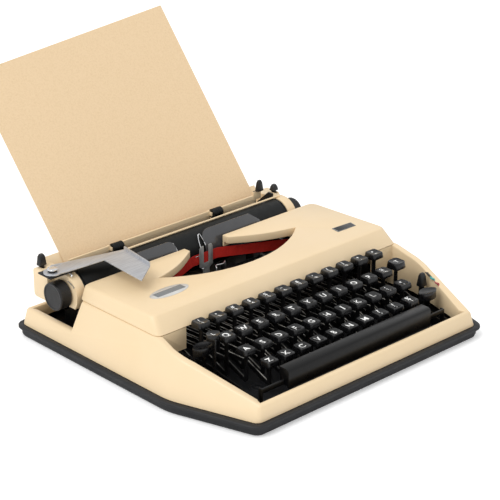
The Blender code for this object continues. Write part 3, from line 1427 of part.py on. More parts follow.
def end_plate_outline():
    """Side view of an end plate: round about the platen, an ear, a lobe for the bail, a foot."""
    axis = (back(PLATEN_BACK), PLATEN_HEIGHT)
    radius = PLATEN_RADIUS - GAP
    channel = channel_outline()
    lobe = BAIL_SHAFT_RADIUS * 2.2
    pivot = (back(BAIL_PIVOT_BACK), BAIL_PIVOT_HEIGHT)
    ear_y = axis[0] + END_EAR_FRONT
    ear_top = BRACKET_BOTTOM + BRACKET_THICKNESS
    ear_angle = math.acos(END_EAR_FRONT / radius)
    points = arc_points(axis, radius, -math.pi / 3.0, -math.tau + ear_angle, 16)
    points += [(ear_y, ear_top), (ear_y + END_EAR_DEPTH, ear_top)]
    points += arc_points(pivot, lobe, math.pi / 3.0, -math.pi / 6.0, 4)
    waist = table_point(TABLE_LOW_REACH, -END_WAIST_OFFSET)
    foot = channel[2][1] + GAP
    points += [waist, (waist[0], channel[6][1] + END_WAIST_OFFSET), channel[6], (channel[6][0], foot),
               (channel[7][0], foot)]
    return points


def carriage_frame():
    """Channel over the rail, two end plates bored for the platen and the bail, and the lever bracket."""
    inner = END_PLATE_X
    outer = END_PLATE_X + END_PLATE_THICKNESS
    frame = prism("frame", channel_outline(), 'X', CARRIAGE_X - outer, CARRIAGE_X + outer)
    outline = end_plate_outline()
    for side in (-1.0, 1.0):
        start = min(side * inner, side * outer)
        end = max(side * inner, side * outer)
        joined(frame, prism("plate", outline, 'X', CARRIAGE_X + start, CARRIAGE_X + end))
    pivot = carriage_point(LEVER_PIVOT_X, LEVER_PIVOT_BACK, BRACKET_BOTTOM)
    bracket_rear = back(PLATEN_BACK) + END_EAR_FRONT + END_EAR_DEPTH
    bracket = box("bracket", (pivot[0] - BRACKET_END_MARGIN, pivot[1] - BRACKET_FRONT_MARGIN, BRACKET_BOTTOM),
                  (CARRIAGE_X - (inner + outer) / 2.0, bracket_rear, BRACKET_BOTTOM + BRACKET_THICKNESS))
    joined(frame, bracket)
    head_low = LEVER_PLATE_HEIGHT + LEVER_PLATE_THICKNESS + GAP
    stud_low = BRACKET_BOTTOM + BRACKET_THICKNESS / 2.0
    stud = cylinder("stud", LEVER_STUD_RADIUS, (pivot[0], pivot[1], stud_low),
                    (pivot[0], pivot[1], head_low + LEVER_HEAD_HEIGHT / 2.0), 'Z', 12)
    profile = [(0.0, LEVER_HEAD_HEIGHT), (LEVER_HEAD_RADIUS * 0.5, LEVER_HEAD_HEIGHT * 0.9),
               (LEVER_HEAD_RADIUS * 0.85, LEVER_HEAD_HEIGHT * 0.55), (LEVER_HEAD_RADIUS, 0.0), (0.0, 0.0)]
    head = turned("head", profile, 16, (pivot[0], pivot[1], head_low), 'Z')
    joined(frame, stud, head)
    reach = outer + CUT_OVERRUN
    shaft = carriage_point(0.0, PLATEN_BACK, PLATEN_HEIGHT)
    for side in (-1.0, 1.0):
        far = CARRIAGE_X + side * reach
        near = CARRIAGE_X + side * (inner - CUT_OVERRUN)
        cut(frame, cylinder("bore", PLATEN_SHAFT_RADIUS + GAP, (near, shaft[1], shaft[2]),
                            (far, shaft[1], shaft[2]), 'X', 20))
        bail = (back(BAIL_PIVOT_BACK), BAIL_PIVOT_HEIGHT)
        cut(frame, cylinder("bore", BAIL_SHAFT_RADIUS + GAP, (near, *bail), (far, *bail), 'X', 12))
    part(frame, "carriage_frame", dark_steel())


def table_point(reach, offset):
    """Side-view point at a distance up the sheet's plane and an offset behind it."""
    rise = Vector((math.sin(SHEET_LEAN), math.cos(SHEET_LEAN)))
    behind = Vector((math.cos(SHEET_LEAN), -math.sin(SHEET_LEAN)))
    foot = Vector((back(SHEET_FOOT_BACK), SHEET_FOOT_HEIGHT))
    return tuple(foot + rise * reach + behind * offset)


def table_outline():
    """Side view of the paper table: a plate parallel to the sheet, behind it at a clearance."""
    near = TABLE_CLEARANCE + SHEET_THICKNESS / 2.0
    far = near + TABLE_THICKNESS
    return [
        table_point(TABLE_LOW_REACH, near), table_point(TABLE_LOW_REACH, far),
        table_point(TABLE_HIGH_REACH, far), table_point(TABLE_HIGH_REACH, near),
    ]


def release_slot(x, distance):
    """Slot and pin bore in an end housing for one release lever."""
    half = RELEASE_SLOT / 2.0
    y = back(distance)
    front = y - RELEASE_DEPTH / 2.0 - RELEASE_SWING_ROOM - GAP
    rear = y + RELEASE_DEPTH / 2.0 + GAP
    low = RELEASE_PIVOT_HEIGHT - RELEASE_DEPTH / 2.0 - GAP
    slot = box("slot", (x - half, front, low), (x + half, rear, HOUSING_TOP + CUT_OVERRUN))
    reach = RELEASE_PIN_HALF + GAP
    bore = cylinder("bore", RELEASE_PIN_RADIUS + GAP, (x - reach, y, RELEASE_PIVOT_HEIGHT),
                    (x + reach, y, RELEASE_PIVOT_HEIGHT), 'X', 10)
    return joined(slot, bore)


def housing(side):
    """One end housing: a rounded cap beside the platen and a block behind the knob."""
    inner = END_PLATE_X + END_PLATE_THICKNESS + GAP
    outer = inner + HOUSING_WIDTH
    axis = (back(PLATEN_BACK), PLATEN_HEIGHT)
    low_angle = math.asin((PLATEN_HEIGHT - HOUSING_BOTTOM) / HOUSING_RADIUS)
    outline = arc_points(axis, HOUSING_RADIUS, math.pi / 2.0, math.pi + low_angle, 12)
    outline += [(back(HOUSING_REAR), HOUSING_BOTTOM), (back(HOUSING_REAR), HOUSING_TOP)]
    start = CARRIAGE_X + min(side * inner, side * outer)
    end = CARRIAGE_X + max(side * inner, side * outer)
    cap = prism("cap", outline, 'X', start, end)
    start = CARRIAGE_X + min(side * inner, side * HOUSING_BLOCK_OUT)
    end = CARRIAGE_X + max(side * inner, side * HOUSING_BLOCK_OUT)
    front = back(HOUSING_BLOCK_FRONT)
    rear = back(HOUSING_REAR)
    round_off = HOUSING_WIDTH / 3.0
    corners = [(front, HOUSING_BOTTOM, round_off), (rear, HOUSING_BOTTOM, round_off),
               (rear, HOUSING_TOP, round_off), (front, HOUSING_TOP, round_off)]
    block = prism("block", rounded_outline(corners, 3), 'X', start, end)
    joined(cap, block)
    bore = cylinder("bore", PLATEN_SHAFT_RADIUS + GAP * 2.0,
                    (CARRIAGE_X + side * (inner - CUT_OVERRUN), *axis),
                    (CARRIAGE_X + side * (outer + CUT_OVERRUN), *axis), 'X', 16)
    if side < 0.0:
        slot = release_slot(CARRIAGE_X + PAPER_RELEASE_X, PAPER_RELEASE_BACK)
    else:
        slot = release_slot(CARRIAGE_X + CARRIAGE_RELEASE_X, CARRIAGE_RELEASE_BACK)
    return cut(cap, bore, slot)


def carriage_cover():
    """Both beige end housings with the paper table and the thin scale rod between them."""
    cover = housing(-1.0)
    right = housing(1.0)
    reach = END_PLATE_X + END_PLATE_THICKNESS + GAP + HOUSING_WIDTH / 2.0
    table = prism("table", table_outline(), 'X', CARRIAGE_X - reach, CARRIAGE_X + reach)
    rod = cylinder("rod", SCALE_ROD_RADIUS, carriage_point(-reach, SCALE_ROD_BACK, SCALE_ROD_HEIGHT),
                   carriage_point(reach, SCALE_ROD_BACK, SCALE_ROD_HEIGHT), 'X', 8)
    joined(cover, table, right, rod)
    for side in (-1.0, 1.0):
        start = min(side * reach, side * (reach - HOUSING_WIDTH / 4.0))
        end = max(side * reach, side * (reach - HOUSING_WIDTH / 4.0))
        y = back(SCALE_ROD_BACK)
        lug = box("lug", (CARRIAGE_X + start, y - SCALE_ROD_RADIUS * 1.5, HOUSING_TOP - HOUSING_WIDTH / 4.0),
                  (CARRIAGE_X + end, y + SCALE_ROD_RADIUS * 1.5, SCALE_ROD_HEIGHT + SCALE_ROD_RADIUS * 0.9))
        joined(cover, lug)
    part(cover, "carriage_cover", beige_enamel())


def bail_roller_seat(bar, x):
    """Notch the bail for one roller, then add two ears, a bridge behind the roller and its pin."""
    centre = carriage_point(x, ROLLER_BACK, ROLLER_HEIGHT)
    bar_y = back(BAIL_BAR_BACK)
    reach = ROLLER_LENGTH / 2.0 + GAP
    cut(bar, box("notch", (centre[0] - reach, bar_y - CUT_OVERRUN, BAIL_BAR_BOTTOM - CUT_OVERRUN),
                 (centre[0] + reach, bar_y + CUT_OVERRUN, BAIL_BAR_BOTTOM + BAIL_BAR_HEIGHT + CUT_OVERRUN)))
    bridge_front = centre[1] + ROLLER_RADIUS + GAP
    bridge_rear = bridge_front + ROLLER_BRIDGE
    half = ROLLER_EAR_HEIGHT / 2.0
    for side in (-1.0, 1.0):
        ear_in = centre[0] + side * reach
        ear_out = centre[0] + side * (reach + ROLLER_EAR)
        joined(bar, box("ear", (min(ear_in, ear_out), centre[1] - half, ROLLER_HEIGHT - half),
                        (max(ear_in, ear_out), bridge_rear, ROLLER_HEIGHT + half)))
    bridge_reach = reach + ROLLER_EAR / 2.0
    joined(bar, box("bridge", (centre[0] - bridge_reach, bridge_front, ROLLER_HEIGHT - half * 0.9),
                    (centre[0] + bridge_reach, bridge_rear - GAP, ROLLER_HEIGHT + half * 0.9)))
    joined(bar, cylinder("pin", ROLLER_PIN, (centre[0] - bridge_reach, centre[1], centre[2]),
                         (centre[0] + bridge_reach, centre[1], centre[2]), 'X', 8))


def paper_bail():
    """Flat bar on two arms with stub shafts in the end plates, roller seats and a finger tip."""
    bar_y = back(BAIL_BAR_BACK)
    rear_y = bar_y + BAIL_BAR_THICKNESS
    low = BAIL_BAR_BOTTOM
    top = low + BAIL_BAR_HEIGHT
    half = BAIL_HALF_LENGTH
    bar = box("bar", (CARRIAGE_X - half, bar_y, low), (CARRIAGE_X + half, rear_y, top))
    pivot = (back(BAIL_PIVOT_BACK), BAIL_PIVOT_HEIGHT)
    depth = BAIL_ARM_DEPTH / 2.0
    arm = [(bar_y, low), (pivot[0] - depth, pivot[1] - depth), (pivot[0] + depth, pivot[1] - depth),
           (pivot[0] + depth, pivot[1] + depth), (rear_y, low + BAIL_ARM_DEPTH), (rear_y, top - GAP),
           (bar_y, top - GAP)]
    shaft_end = END_PLATE_X + END_PLATE_THICKNESS
    for side in (-1.0, 1.0):
        arm_in = side * (half - BAIL_ARM_THICKNESS)
        start = CARRIAGE_X + min(side * half, arm_in)
        joined(bar, prism("arm", arm, 'X', start, start + BAIL_ARM_THICKNESS))
        joined(bar, cylinder("stub", BAIL_SHAFT_RADIUS, (CARRIAGE_X + arm_in + side * GAP, *pivot),
                             (CARRIAGE_X + side * shaft_end, *pivot), 'X', 10))
    for roller_x in (-ROLLER_X, ROLLER_X):
        bail_roller_seat(bar, roller_x)
    tip_x = CARRIAGE_X + BAIL_TIP_X
    deep = BAIL_TIP_DEPTH
    tip_y = rear_y - deep / 2.0
    wide = BAIL_TIP_WIDTH
    tip_low = top + BAIL_TIP_BASE
    base = box("base", (CARRIAGE_X + half - BAIL_TIP_BASE, bar_y - GAP, low + BAIL_ARM_DEPTH),
               (tip_x + wide / 3.0, rear_y - GAP, tip_low + GAP))
    rings = [
        cap_ring(tip_x, tip_y, tip_low, wide, deep, deep * 0.3),
        cap_ring(tip_x, tip_y, tip_low + BAIL_TIP_HEIGHT * 0.75, wide * 0.7, deep * 0.8, deep * 0.25),
        cap_ring(tip_x, tip_y, tip_low + BAIL_TIP_HEIGHT, wide * 0.4, deep * 0.5, deep * 0.15),
    ]
    joined(bar, base, skin("tip", rings))
    part(bar, "paper_bail", beige_enamel(), (CARRIAGE_X, *pivot))


def bail_roller(name, x):
    """Small black roller on its pin in the bail."""
    half = ROLLER_LENGTH / 2.0
    edge = ROLLER_RADIUS * 0.12
    profile = [
        (ROLLER_BORE, half), (ROLLER_RADIUS - edge, half), (ROLLER_RADIUS, half - edge),
        (ROLLER_RADIUS, -half + edge), (ROLLER_RADIUS - edge, -half), (ROLLER_BORE, -half),
    ]
    centre = carriage_point(x, ROLLER_BACK, ROLLER_HEIGHT)
    roller = turned(name, profile, 18, centre, 'X')
    part(roller, name, black_rubber(), centre)


def return_lever():
    """Cranked sheet-metal lever: hub, rising arm and a wide paddle with a folded edge."""
    pivot = carriage_point(LEVER_PIVOT_X, LEVER_PIVOT_BACK, 0.0)
    low = LEVER_PLATE_HEIGHT
    thick = LEVER_PLATE_THICKNESS
    hub = LEVER_HUB_RADIUS
    paddle_up = LEVER_RISE + PADDLE_RISE
    stations = [
        ((0.0, hub * 0.9), (0.0, -hub * 0.9), 0.0),
        ((LEVER_HEEL_REACH, LEVER_HEEL_BACK), (LEVER_NECK_REACH, -LEVER_NECK_DROP), 0.0),
        ((LEVER_ARM_REACH, -LEVER_ARM_DROP), (LEVER_INNER_REACH, -LEVER_INNER_DROP), LEVER_RISE),
        ((PADDLE_REACH, -PADDLE_DROP), (PADDLE_INNER_REACH, -PADDLE_INNER_DROP), paddle_up),
    ]
    rings = []
    for rear, front, rise in stations:
        a = (pivot[0] + rear[0], pivot[1] + rear[1], low + rise)
        b = (pivot[0] + front[0], pivot[1] + front[1], low + rise)
        rings.append([a, b, (b[0], b[1], b[2] + thick), (a[0], a[1], a[2] + thick)])
    lever = skin("lever", rings)
    disc = cylinder("disc", hub, (pivot[0], pivot[1], low), (pivot[0], pivot[1], low + thick), 'Z', 20)
    joined(lever, disc)
    root = Vector(rings[2][0])
    end = Vector(rings[3][0])
    inward = Vector((-PADDLE_FLANGE_WIDTH, 0.0, 0.0))
    flange_rings = []
    for spot in (root, end):
        base = spot + Vector((0.0, 0.0, thick / 2.0))
        up = Vector((0.0, 0.0, PADDLE_FLANGE_HEIGHT))
        flange_rings.append([tuple(base), tuple(base + inward), tuple(base + inward + up), tuple(base + up)])
    joined(lever, skin("flange", flange_rings))
    hole_low = low - CUT_OVERRUN
    hole_top = low + CUT_OVERRUN
    hole_start = (pivot[0], pivot[1], hole_low)
    cut(lever, cylinder("hole", LEVER_BORE, hole_start, (pivot[0], pivot[1], hole_top), 'Z', 16))
    part(lever, "return_lever", bright_steel(), (pivot[0], pivot[1], low))


def release_lever(name, x_on_carriage, distance, tip_top):
    """Plate lever on a pin in a slot of the end housing, with a tapered black tip."""
    x = CARRIAGE_X + x_on_carriage
    y = back(distance)
    half = RELEASE_PLATE / 2.0
    depth = RELEASE_DEPTH / 2.0
    foot = RELEASE_PIVOT_HEIGHT
    tip_low = HOUSING_TOP + RELEASE_TIP_GAP
    outline = arc_points((y, foot), depth, math.pi, math.tau, 6)
    outline += [(y + depth, tip_low + depth), (y - depth, tip_low + depth)]
    plate = prism("plate", outline, 'X', x - half, x + half)
    pin = cylinder("pin", RELEASE_PIN_RADIUS, (x - RELEASE_PIN_HALF, y, foot), (x + RELEASE_PIN_HALF, y, foot),
                   'X', 8)
    wide = RELEASE_TIP_WIDTH
    rings = [
        cap_ring(x, y, tip_low, wide, wide * 0.75, wide * 0.2),
        cap_ring(x, y, tip_top - depth, wide * 0.75, wide * 0.62, wide * 0.18),
        cap_ring(x, y, tip_top, wide * 0.45, wide * 0.4, wide * 0.1),
    ]
    joined(plate, pin, skin("tip", rings))
    part(plate, name, black_plastic(), (x, y, foot))


def paper_sheet():
    """Loose flat sheet, askew in a plane that leans back from behind the platen."""
    half = SHEET_WIDTH / 2.0
    thick = SHEET_THICKNESS / 2.0
    sheet = box("sheet", (-half, -thick, SHEET_LOW_REACH), (half, thick, SHEET_HIGH_REACH))
    skew = Matrix.Rotation(-SHEET_SKEW, 4, 'Y')
    lean = Matrix.Rotation(-SHEET_LEAN, 4, 'X')
    foot = (SHEET_X, back(SHEET_FOOT_BACK), SHEET_FOOT_HEIGHT)
    sheet.data.transform(Matrix.Translation(foot) @ lean @ skew)
    part(sheet, "paper_sheet", kraft_paper(), foot)


def build():
    clear_scene()
    make_collections()
    base_pan()
    body_shell()
    ribbon_cover()
    chassis_frame()
    letter_keys()
    figure_keys()
    space_bar()
    shift_bar()
    shift_lock()
    tab_key()
    ribbon_selector()
    type_segment()
    type_bar()
    ribbon_spool("ribbon_spool_left", -1.0)
    ribbon_spool("ribbon_spool_right", 1.0)
    ribbon()
    ribbon_vibrator()
    card_holder()
    carriage_frame()
    carriage_cover()
    platen()
    platen_knob("platen_knob_left", -1.0)
    platen_knob("platen_knob_right", 1.0)
    paper_bail()
    bail_roller("bail_roller_left", -ROLLER_X)
    bail_roller("bail_roller_right", ROLLER_X)
    return_lever()
    release_lever("paper_release_lever", PAPER_RELEASE_X, PAPER_RELEASE_BACK, PAPER_RELEASE_TOP)
    release_lever("carriage_release_lever", CARRIAGE_RELEASE_X, CARRIAGE_RELEASE_BACK, CARRIAGE_RELEASE_TOP)
    paper_sheet()
    print("parts:", len(PARTS.objects))


build()
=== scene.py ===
import json
import math

import bmesh
import bpy
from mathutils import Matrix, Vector
from mathutils.bvhtree import BVHTree


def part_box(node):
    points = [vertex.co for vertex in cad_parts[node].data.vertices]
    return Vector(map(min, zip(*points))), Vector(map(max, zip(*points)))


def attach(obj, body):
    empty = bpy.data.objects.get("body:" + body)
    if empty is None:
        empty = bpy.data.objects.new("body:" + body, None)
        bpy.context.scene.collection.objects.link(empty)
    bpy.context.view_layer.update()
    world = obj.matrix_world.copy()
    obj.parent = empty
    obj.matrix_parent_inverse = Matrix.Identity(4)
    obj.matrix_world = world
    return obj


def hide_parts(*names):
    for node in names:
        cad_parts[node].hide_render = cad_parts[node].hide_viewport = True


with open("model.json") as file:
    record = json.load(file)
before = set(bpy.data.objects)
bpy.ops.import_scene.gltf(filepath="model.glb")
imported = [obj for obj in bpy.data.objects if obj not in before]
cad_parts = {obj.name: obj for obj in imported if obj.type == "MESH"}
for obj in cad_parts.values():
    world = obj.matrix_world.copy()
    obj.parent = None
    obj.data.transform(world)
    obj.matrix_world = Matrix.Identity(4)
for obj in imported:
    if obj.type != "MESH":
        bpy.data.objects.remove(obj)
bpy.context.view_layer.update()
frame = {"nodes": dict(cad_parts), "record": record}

record = frame["record"]
bodyOf = {node: body for body, nodes in record["behaviour"]["bodies"].items() for node in nodes}
scene = bpy.context.scene


# Shader helpers

def link(tree, source, target):
    tree.links.new(source, target)


def noiseOf(tree, coords, scale, detail, roughness=0.5, stretch=None):
    if stretch is not None:
        mapping = tree.nodes.new("ShaderNodeMapping")
        mapping.inputs["Scale"].default_value = stretch
        link(tree, coords, mapping.inputs["Vector"])
        coords = mapping.outputs["Vector"]
    noise = tree.nodes.new("ShaderNodeTexNoise")
    noise.inputs["Scale"].default_value = scale
    noise.inputs["Detail"].default_value = detail
    noise.inputs["Roughness"].default_value = roughness
    link(tree, coords, noise.inputs["Vector"])
    return noise.outputs["Fac"]


def spread(tree, value, low, high, source):
    # turns a value's source range into the range from low to high
    mapRange = tree.nodes.new("ShaderNodeMapRange")
    mapRange.inputs["From Min"].default_value = source[0]
    mapRange.inputs["From Max"].default_value = source[1]
    mapRange.inputs["To Min"].default_value = low
    mapRange.inputs["To Max"].default_value = high
    link(tree, value, mapRange.inputs["Value"])
    return mapRange.outputs["Result"]


def linearColor(hexCode):
    # a hex code as the linear colour that a shader socket takes
    values = [int(hexCode[i:i + 2], 16) / 255.0 for i in (1, 3, 5)]
    linear = [v / 12.92 if v <= 0.04045 else ((v + 0.055) / 1.055) ** 2.4 for v in values]
    return (*linear, 1.0)


def blendColors(tree, factor, first, second):
    # first is a hex code or a socket, second a hex code
    mix = tree.nodes.new("ShaderNodeMix")
    mix.data_type = 'RGBA'
    if isinstance(first, str):
        mix.inputs["A"].default_value = linearColor(first)
    else:
        link(tree, first, mix.inputs["A"])
    mix.inputs["B"].default_value = linearColor(second)
    link(tree, factor, mix.inputs["Factor"])
    return mix.outputs["Result"]


def valueOf(tree, operation, first, second=0.0):
    node = tree.nodes.new("ShaderNodeMath")
    node.operation = operation
    for socket, value in zip(node.inputs, (first, second)):
        if isinstance(value, (int, float)):
            socket.default_value = value
        else:
            link(tree, value, socket)
    return node.outputs["Value"]


# Finishes: what every finish has unless its own entry says otherwise

finishBasics = {"patchScale": 90.0, "patchDetail": 4.0, "patchRoughness": 0.55, "patchSpread": (0.3, 0.7),
                "glossScale": 260.0, "glossDetail": 3.0, "glossRoughness": 0.6, "glossSpread": (0.3, 0.7),
                "grainScale": 1500.0, "grainDepth": 0.00003, "grainDetail": 2.0, "grainStrength": 0.5,
                "stretch": None, "metallic": 0.0, "coat": 0.0, "coatRoughness": 0.1, "specular": 0.5}

finishes = {
    "beigeEnamel": {"tone": "#EDD5AF", "otherTone": "#EBD2AA", "patchScale": 18.0, "glossScale": 60.0,
                    "roughness": (0.36, 0.46), "grainScale": 900.0, "grainDepth": 0.00005, "coat": 0.1},
    "blackTray": {"tone": "#16171A", "otherTone": "#1C1D20", "patchScale": 30.0, "glossScale": 120.0,
                  "roughness": (0.46, 0.6), "grainScale": 1500.0, "grainDepth": 0.00012, "specular": 0.45},
    "glossKey": {"tone": "#0A0A0B", "otherTone": "#101012", "patchScale": 60.0, "glossScale": 220.0,
                 "roughness": (0.22, 0.34), "grainScale": 1200.0, "grainDepth": 0.00003, "coat": 0.12,
                 "specular": 0.42},
    "spaceBlack": {"tone": "#060607", "otherTone": "#0A0A0B", "patchScale": 60.0, "glossScale": 220.0,
                   "roughness": (0.27, 0.36), "grainScale": 1200.0, "grainDepth": 0.00003, "specular": 0.3},
    "blackSteel": {"tone": "#121214", "otherTone": "#1A1B1C", "patchScale": 90.0, "glossScale": 260.0,
                   "roughness": (0.34, 0.55), "grainScale": 1400.0, "grainDepth": 0.00006, "metallic": 0.4},
    "leverSteel": {"tone": "#0F0F10", "otherTone": "#19191B", "patchScale": 90.0, "glossScale": 260.0,
                   "roughness": (0.3, 0.5), "grainScale": 1400.0, "grainDepth": 0.00005, "metallic": 0.3,
                   # painted highlight on the levers' faces that look up, broken into patches
                   "topTone": "#C4C1B9", "topHighlight": 0.85, "topRange": (0.8, 0.95),
                   "highlightPatchScale": 62.0, "highlightPatchDetail": 2.0, "highlightPatchSpread": (0.44, 0.6), "leastHighlight": 0.15},
    "wornSteel": {"tone": "#8B8C8D", "otherTone": "#ACADAB", "patchScale": 120.0, "glossScale": 300.0,
                  "roughness": (0.3, 0.5), "grainScale": 1600.0, "grainDepth": 0.00005, "metallic": 0.4},
    "slugSteel": {"tone": "#6E6F70", "otherTone": "#B4B4B2", "patchScale": 240.0, "glossScale": 300.0,
                  "roughness": (0.25, 0.45), "grainScale": 1600.0, "grainDepth": 0.00005, "metallic": 0.7},
    "chrome": {"tone": "#E2E3E5", "otherTone": "#D3D4D6", "patchScale": 120.0, "glossScale": 300.0,
               "roughness": (0.12, 0.22), "grainScale": 1800.0, "grainDepth": 0.00002, "metallic": 0.8},
    "warmBrass": {"tone": "#B59A6C", "otherTone": "#8F7850", "patchScale": 160.0, "glossScale": 300.0,
                  "roughness": (0.25, 0.4), "grainScale": 1500.0, "grainDepth": 0.00003, "metallic": 0.7},
    "groundRubber": {"tone": "#0F1111", "otherTone": "#151717", "patchScale": 40.0, "glossScale": 160.0,
                     "roughness": (0.42, 0.56), "grainScale": 2200.0, "grainDepth": 0.00006,
                     "specular": 0.22},
    "knobPlastic": {"tone": "#101011", "otherTone": "#161617", "patchScale": 50.0, "glossScale": 160.0,
                    "roughness": (0.38, 0.5), "grainScale": 1500.0, "grainDepth": 0.00006},
    "brushedLever": {"tone": "#C9CBCF", "otherTone": "#B1B3B8", "patchScale": 60.0, "glossScale": 200.0,
                     "roughness": (0.32, 0.48), "grainScale": 700.0, "grainDepth": 0.00005,
                     "metallic": 0.7, "stretch": (1.0, 12.0, 1.0)},
    "smokyPlastic": {"tone": "#3C3D40", "otherTone": "#444548", "patchScale": 40.0, "glossScale": 120.0,
                     "roughness": (0.16, 0.26), "grainScale": 900.0, "grainDepth": 0.00003, "coat": 0.6},
    "inkedRibbon": {"tone": "#B3170E", "otherTone": "#C9261A", "patchScale": 160.0, "glossScale": 400.0,
                    "roughness": (0.55, 0.75), "grainScale": 3000.0, "grainDepth": 0.00008,
                    "grainDetail": 4.0},
    "kraftSheet": {"tone": "#E9CEA8", "otherTone": "#DEC197", "patchScale": 640.0, "glossScale": 200.0,
                   "roughness": (0.8, 0.95), "grainScale": 1400.0, "grainDepth": 0.00008,
                   "grainDetail": 5.0, "patchSpread": (0.42, 0.86)},
    "whitePaint": {"tone": "#FFFFFD", "otherTone": "#F4F4F1", "patchScale": 300.0, "glossScale": 500.0,
                   "roughness": (0.4, 0.55), "grainScale": 1800.0, "grainDepth": 0.00003},
    "badgeSilver": {"tone": "#DEDDDA", "otherTone": "#D0CFCC", "roughness": (0.3, 0.42), "metallic": 0.4},
    "badgeGrey": {"tone": "#7C8082", "otherTone": "#73777A", "roughness": (0.35, 0.5)},
    "badgeBlack": {"tone": "#1C1D20", "otherTone": "#151619", "roughness": (0.3, 0.42)},
    "markTeal": {"tone": "#3FA8A4", "otherTone": "#399F9C", "roughness": (0.35, 0.5)},
    "markRed": {"tone": "#A02C34", "otherTone": "#AC3840", "roughness": (0.35, 0.5)},
}


def paintTopHighlight(tree, place, color, settings):
    # painted highlight: lighter where a face looks straight up, in uneven patches
    split = tree.nodes.new("ShaderNodeSeparateXYZ")
    link(tree, place.outputs["Normal"], split.inputs["Vector"])
    upward = spread(tree, split.outputs["Z"], 0.0, settings["topHighlight"], settings["topRange"])
    patches = noiseOf(tree, place.outputs["Object"], settings["highlightPatchScale"], settings["highlightPatchDetail"])
    highlightShare = spread(tree, patches, settings["leastHighlight"], 1.0, settings["highlightPatchSpread"])
    return blendColors(tree, valueOf(tree, 'MULTIPLY', upward, highlightShare), color, settings["topTone"])


def makeFinish(name, own):
    # one procedural finish in object space: two tones, uneven gloss and a fine bump
    settings = {**finishBasics, **own}
    material = bpy.data.materials.new(name)
    material.use_nodes = True
    tree = material.node_tree
    shader = tree.nodes["Principled BSDF"]
    place = tree.nodes.new("ShaderNodeTexCoord")
    coords, stretch = place.outputs["Object"], settings["stretch"]

    patches = noiseOf(tree, coords, settings["patchScale"], settings["patchDetail"],
                      settings["patchRoughness"], stretch)
    color = blendColors(tree, spread(tree, patches, 0.0, 1.0, settings["patchSpread"]),
                        settings["tone"], settings["otherTone"])
    # a finish with a top tone gets a painted highlight on its faces that look up
    if "topTone" in settings:
        color = paintTopHighlight(tree, place, color, settings)
    link(tree, color, shader.inputs["Base Color"])

    gloss = noiseOf(tree, coords, settings["glossScale"], settings["glossDetail"],
                    settings["glossRoughness"], stretch)
    smoothest, roughest = settings["roughness"]
    link(tree, spread(tree, gloss, smoothest, roughest, settings["glossSpread"]),
         shader.inputs["Roughness"])

    bump = tree.nodes.new("ShaderNodeBump")
    bump.inputs["Strength"].default_value = settings["grainStrength"]
    bump.inputs["Distance"].default_value = settings["grainDepth"]
    grain = noiseOf(tree, coords, settings["grainScale"], settings["grainDetail"], stretch=stretch)
    link(tree, grain, bump.inputs["Height"])
    link(tree, bump.outputs["Normal"], shader.inputs["Normal"])

    shader.inputs["Metallic"].default_value = settings["metallic"]
    shader.inputs["Coat Weight"].default_value = settings["coat"]
    shader.inputs["Coat Roughness"].default_value = settings["coatRoughness"]
    shader.inputs["Specular IOR Level"].default_value = settings["specular"]
    return material


materials = {name: makeFinish(name, own) for name, own in finishes.items()}
print("finishes ready")

# Mesh helpers

meshCare = {"merge": 0.000001, "cadMerge": 0.000002, "flatAngle": 0.6, "smoothAngle": 35.0,
            "dressedAngle": 40.0, "wireAngle": 60.0, "bevelAngle": 34.0, "fineAngle": 30.0}


def addPiece(name, mesh, body, finish=None):
    piece = bpy.data.objects.new(name, mesh)
    scene.collection.objects.link(piece)
    if finish is not None:
        mesh.materials.clear()
        mesh.materials.append(materials[finish])
    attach(piece, body)
    return piece


def smoothed(mesh, angle=meshCare["smoothAngle"]):
    mesh.shade_smooth()
    mesh.set_sharp_from_angle(angle=math.radians(angle))
    return mesh


def meshFrom(name, vertices, faces, angle=meshCare["smoothAngle"]):
    mesh = bpy.data.meshes.new(name)
    mesh.from_pydata([tuple(v) for v in vertices], [], faces)
    mesh.validate()
    work = bmesh.new()
    work.from_mesh(mesh)
    bmesh.ops.remove_doubles(work, verts=work.verts, dist=meshCare["merge"])
    bmesh.ops.recalc_face_normals(work, faces=work.faces)
    work.to_mesh(mesh)
    work.free()
    return smoothed(mesh, angle)


def ringFaces(levels, count):
    # quads between rings of count points each
    faces = []
    for j in range(levels - 1):
        for i in range(count):
            k = (i + 1) % count
            faces.append((j * count + i, j * count + k, (j + 1) * count + k, (j + 1) * count + i))
    return faces


def plainMesh(name, data, modifiers=(), tree=None, values=None):
    # a mesh, curve or text run once through bevels or a node tree, as plain faces
    holder = bpy.data.objects.new(name + "Holder", data)
    scene.collection.objects.link(holder)
    for kind, settings in modifiers:
        modifier = holder.modifiers.new(kind, kind)
        for key, value in settings.items():
            setattr(modifier, key, value)
    if tree is not None:
        modifier = holder.modifiers.new("grow", 'NODES')
        modifier.node_group = tree
        for item in tree.interface.items_tree:
            if item.item_type == 'SOCKET' and item.in_out == 'INPUT' and item.name in values:
                modifier[item.identifier] = values[item.name]
    graph = bpy.context.evaluated_depsgraph_get()
    result = bpy.data.meshes.new_from_object(holder.evaluated_get(graph), depsgraph=graph)
    result.name = name
    bpy.data.objects.remove(holder)
    return result


def cadCopy(node, drop=()):
    # the CAD node's faces as a clean mesh; drop lists boxes whose corners are left out
    mesh = bpy.data.meshes.new(node + "_dressed")
    work = bmesh.new()
    work.from_mesh(frame["nodes"][node].data)
    bmesh.ops.remove_doubles(work, verts=work.verts, dist=meshCare["cadMerge"])
    for low, high in drop:
        inside = [v for v in work.verts if all(low[i] <= v.co[i] <= high[i] for i in range(3))]
        bmesh.ops.delete(work, geom=inside, context='VERTS')
    bmesh.ops.dissolve_limit(work, angle_limit=math.radians(meshCare["flatAngle"]),
                             verts=work.verts, edges=work.edges)
    bmesh.ops.recalc_face_normals(work, faces=work.faces)
    work.to_mesh(mesh)
    work.free()
    for attribute in list(mesh.attributes):
        if attribute.name in ("custom_normal", "sharp_face", "sharp_edge"):
            mesh.attributes.remove(attribute)
    return mesh


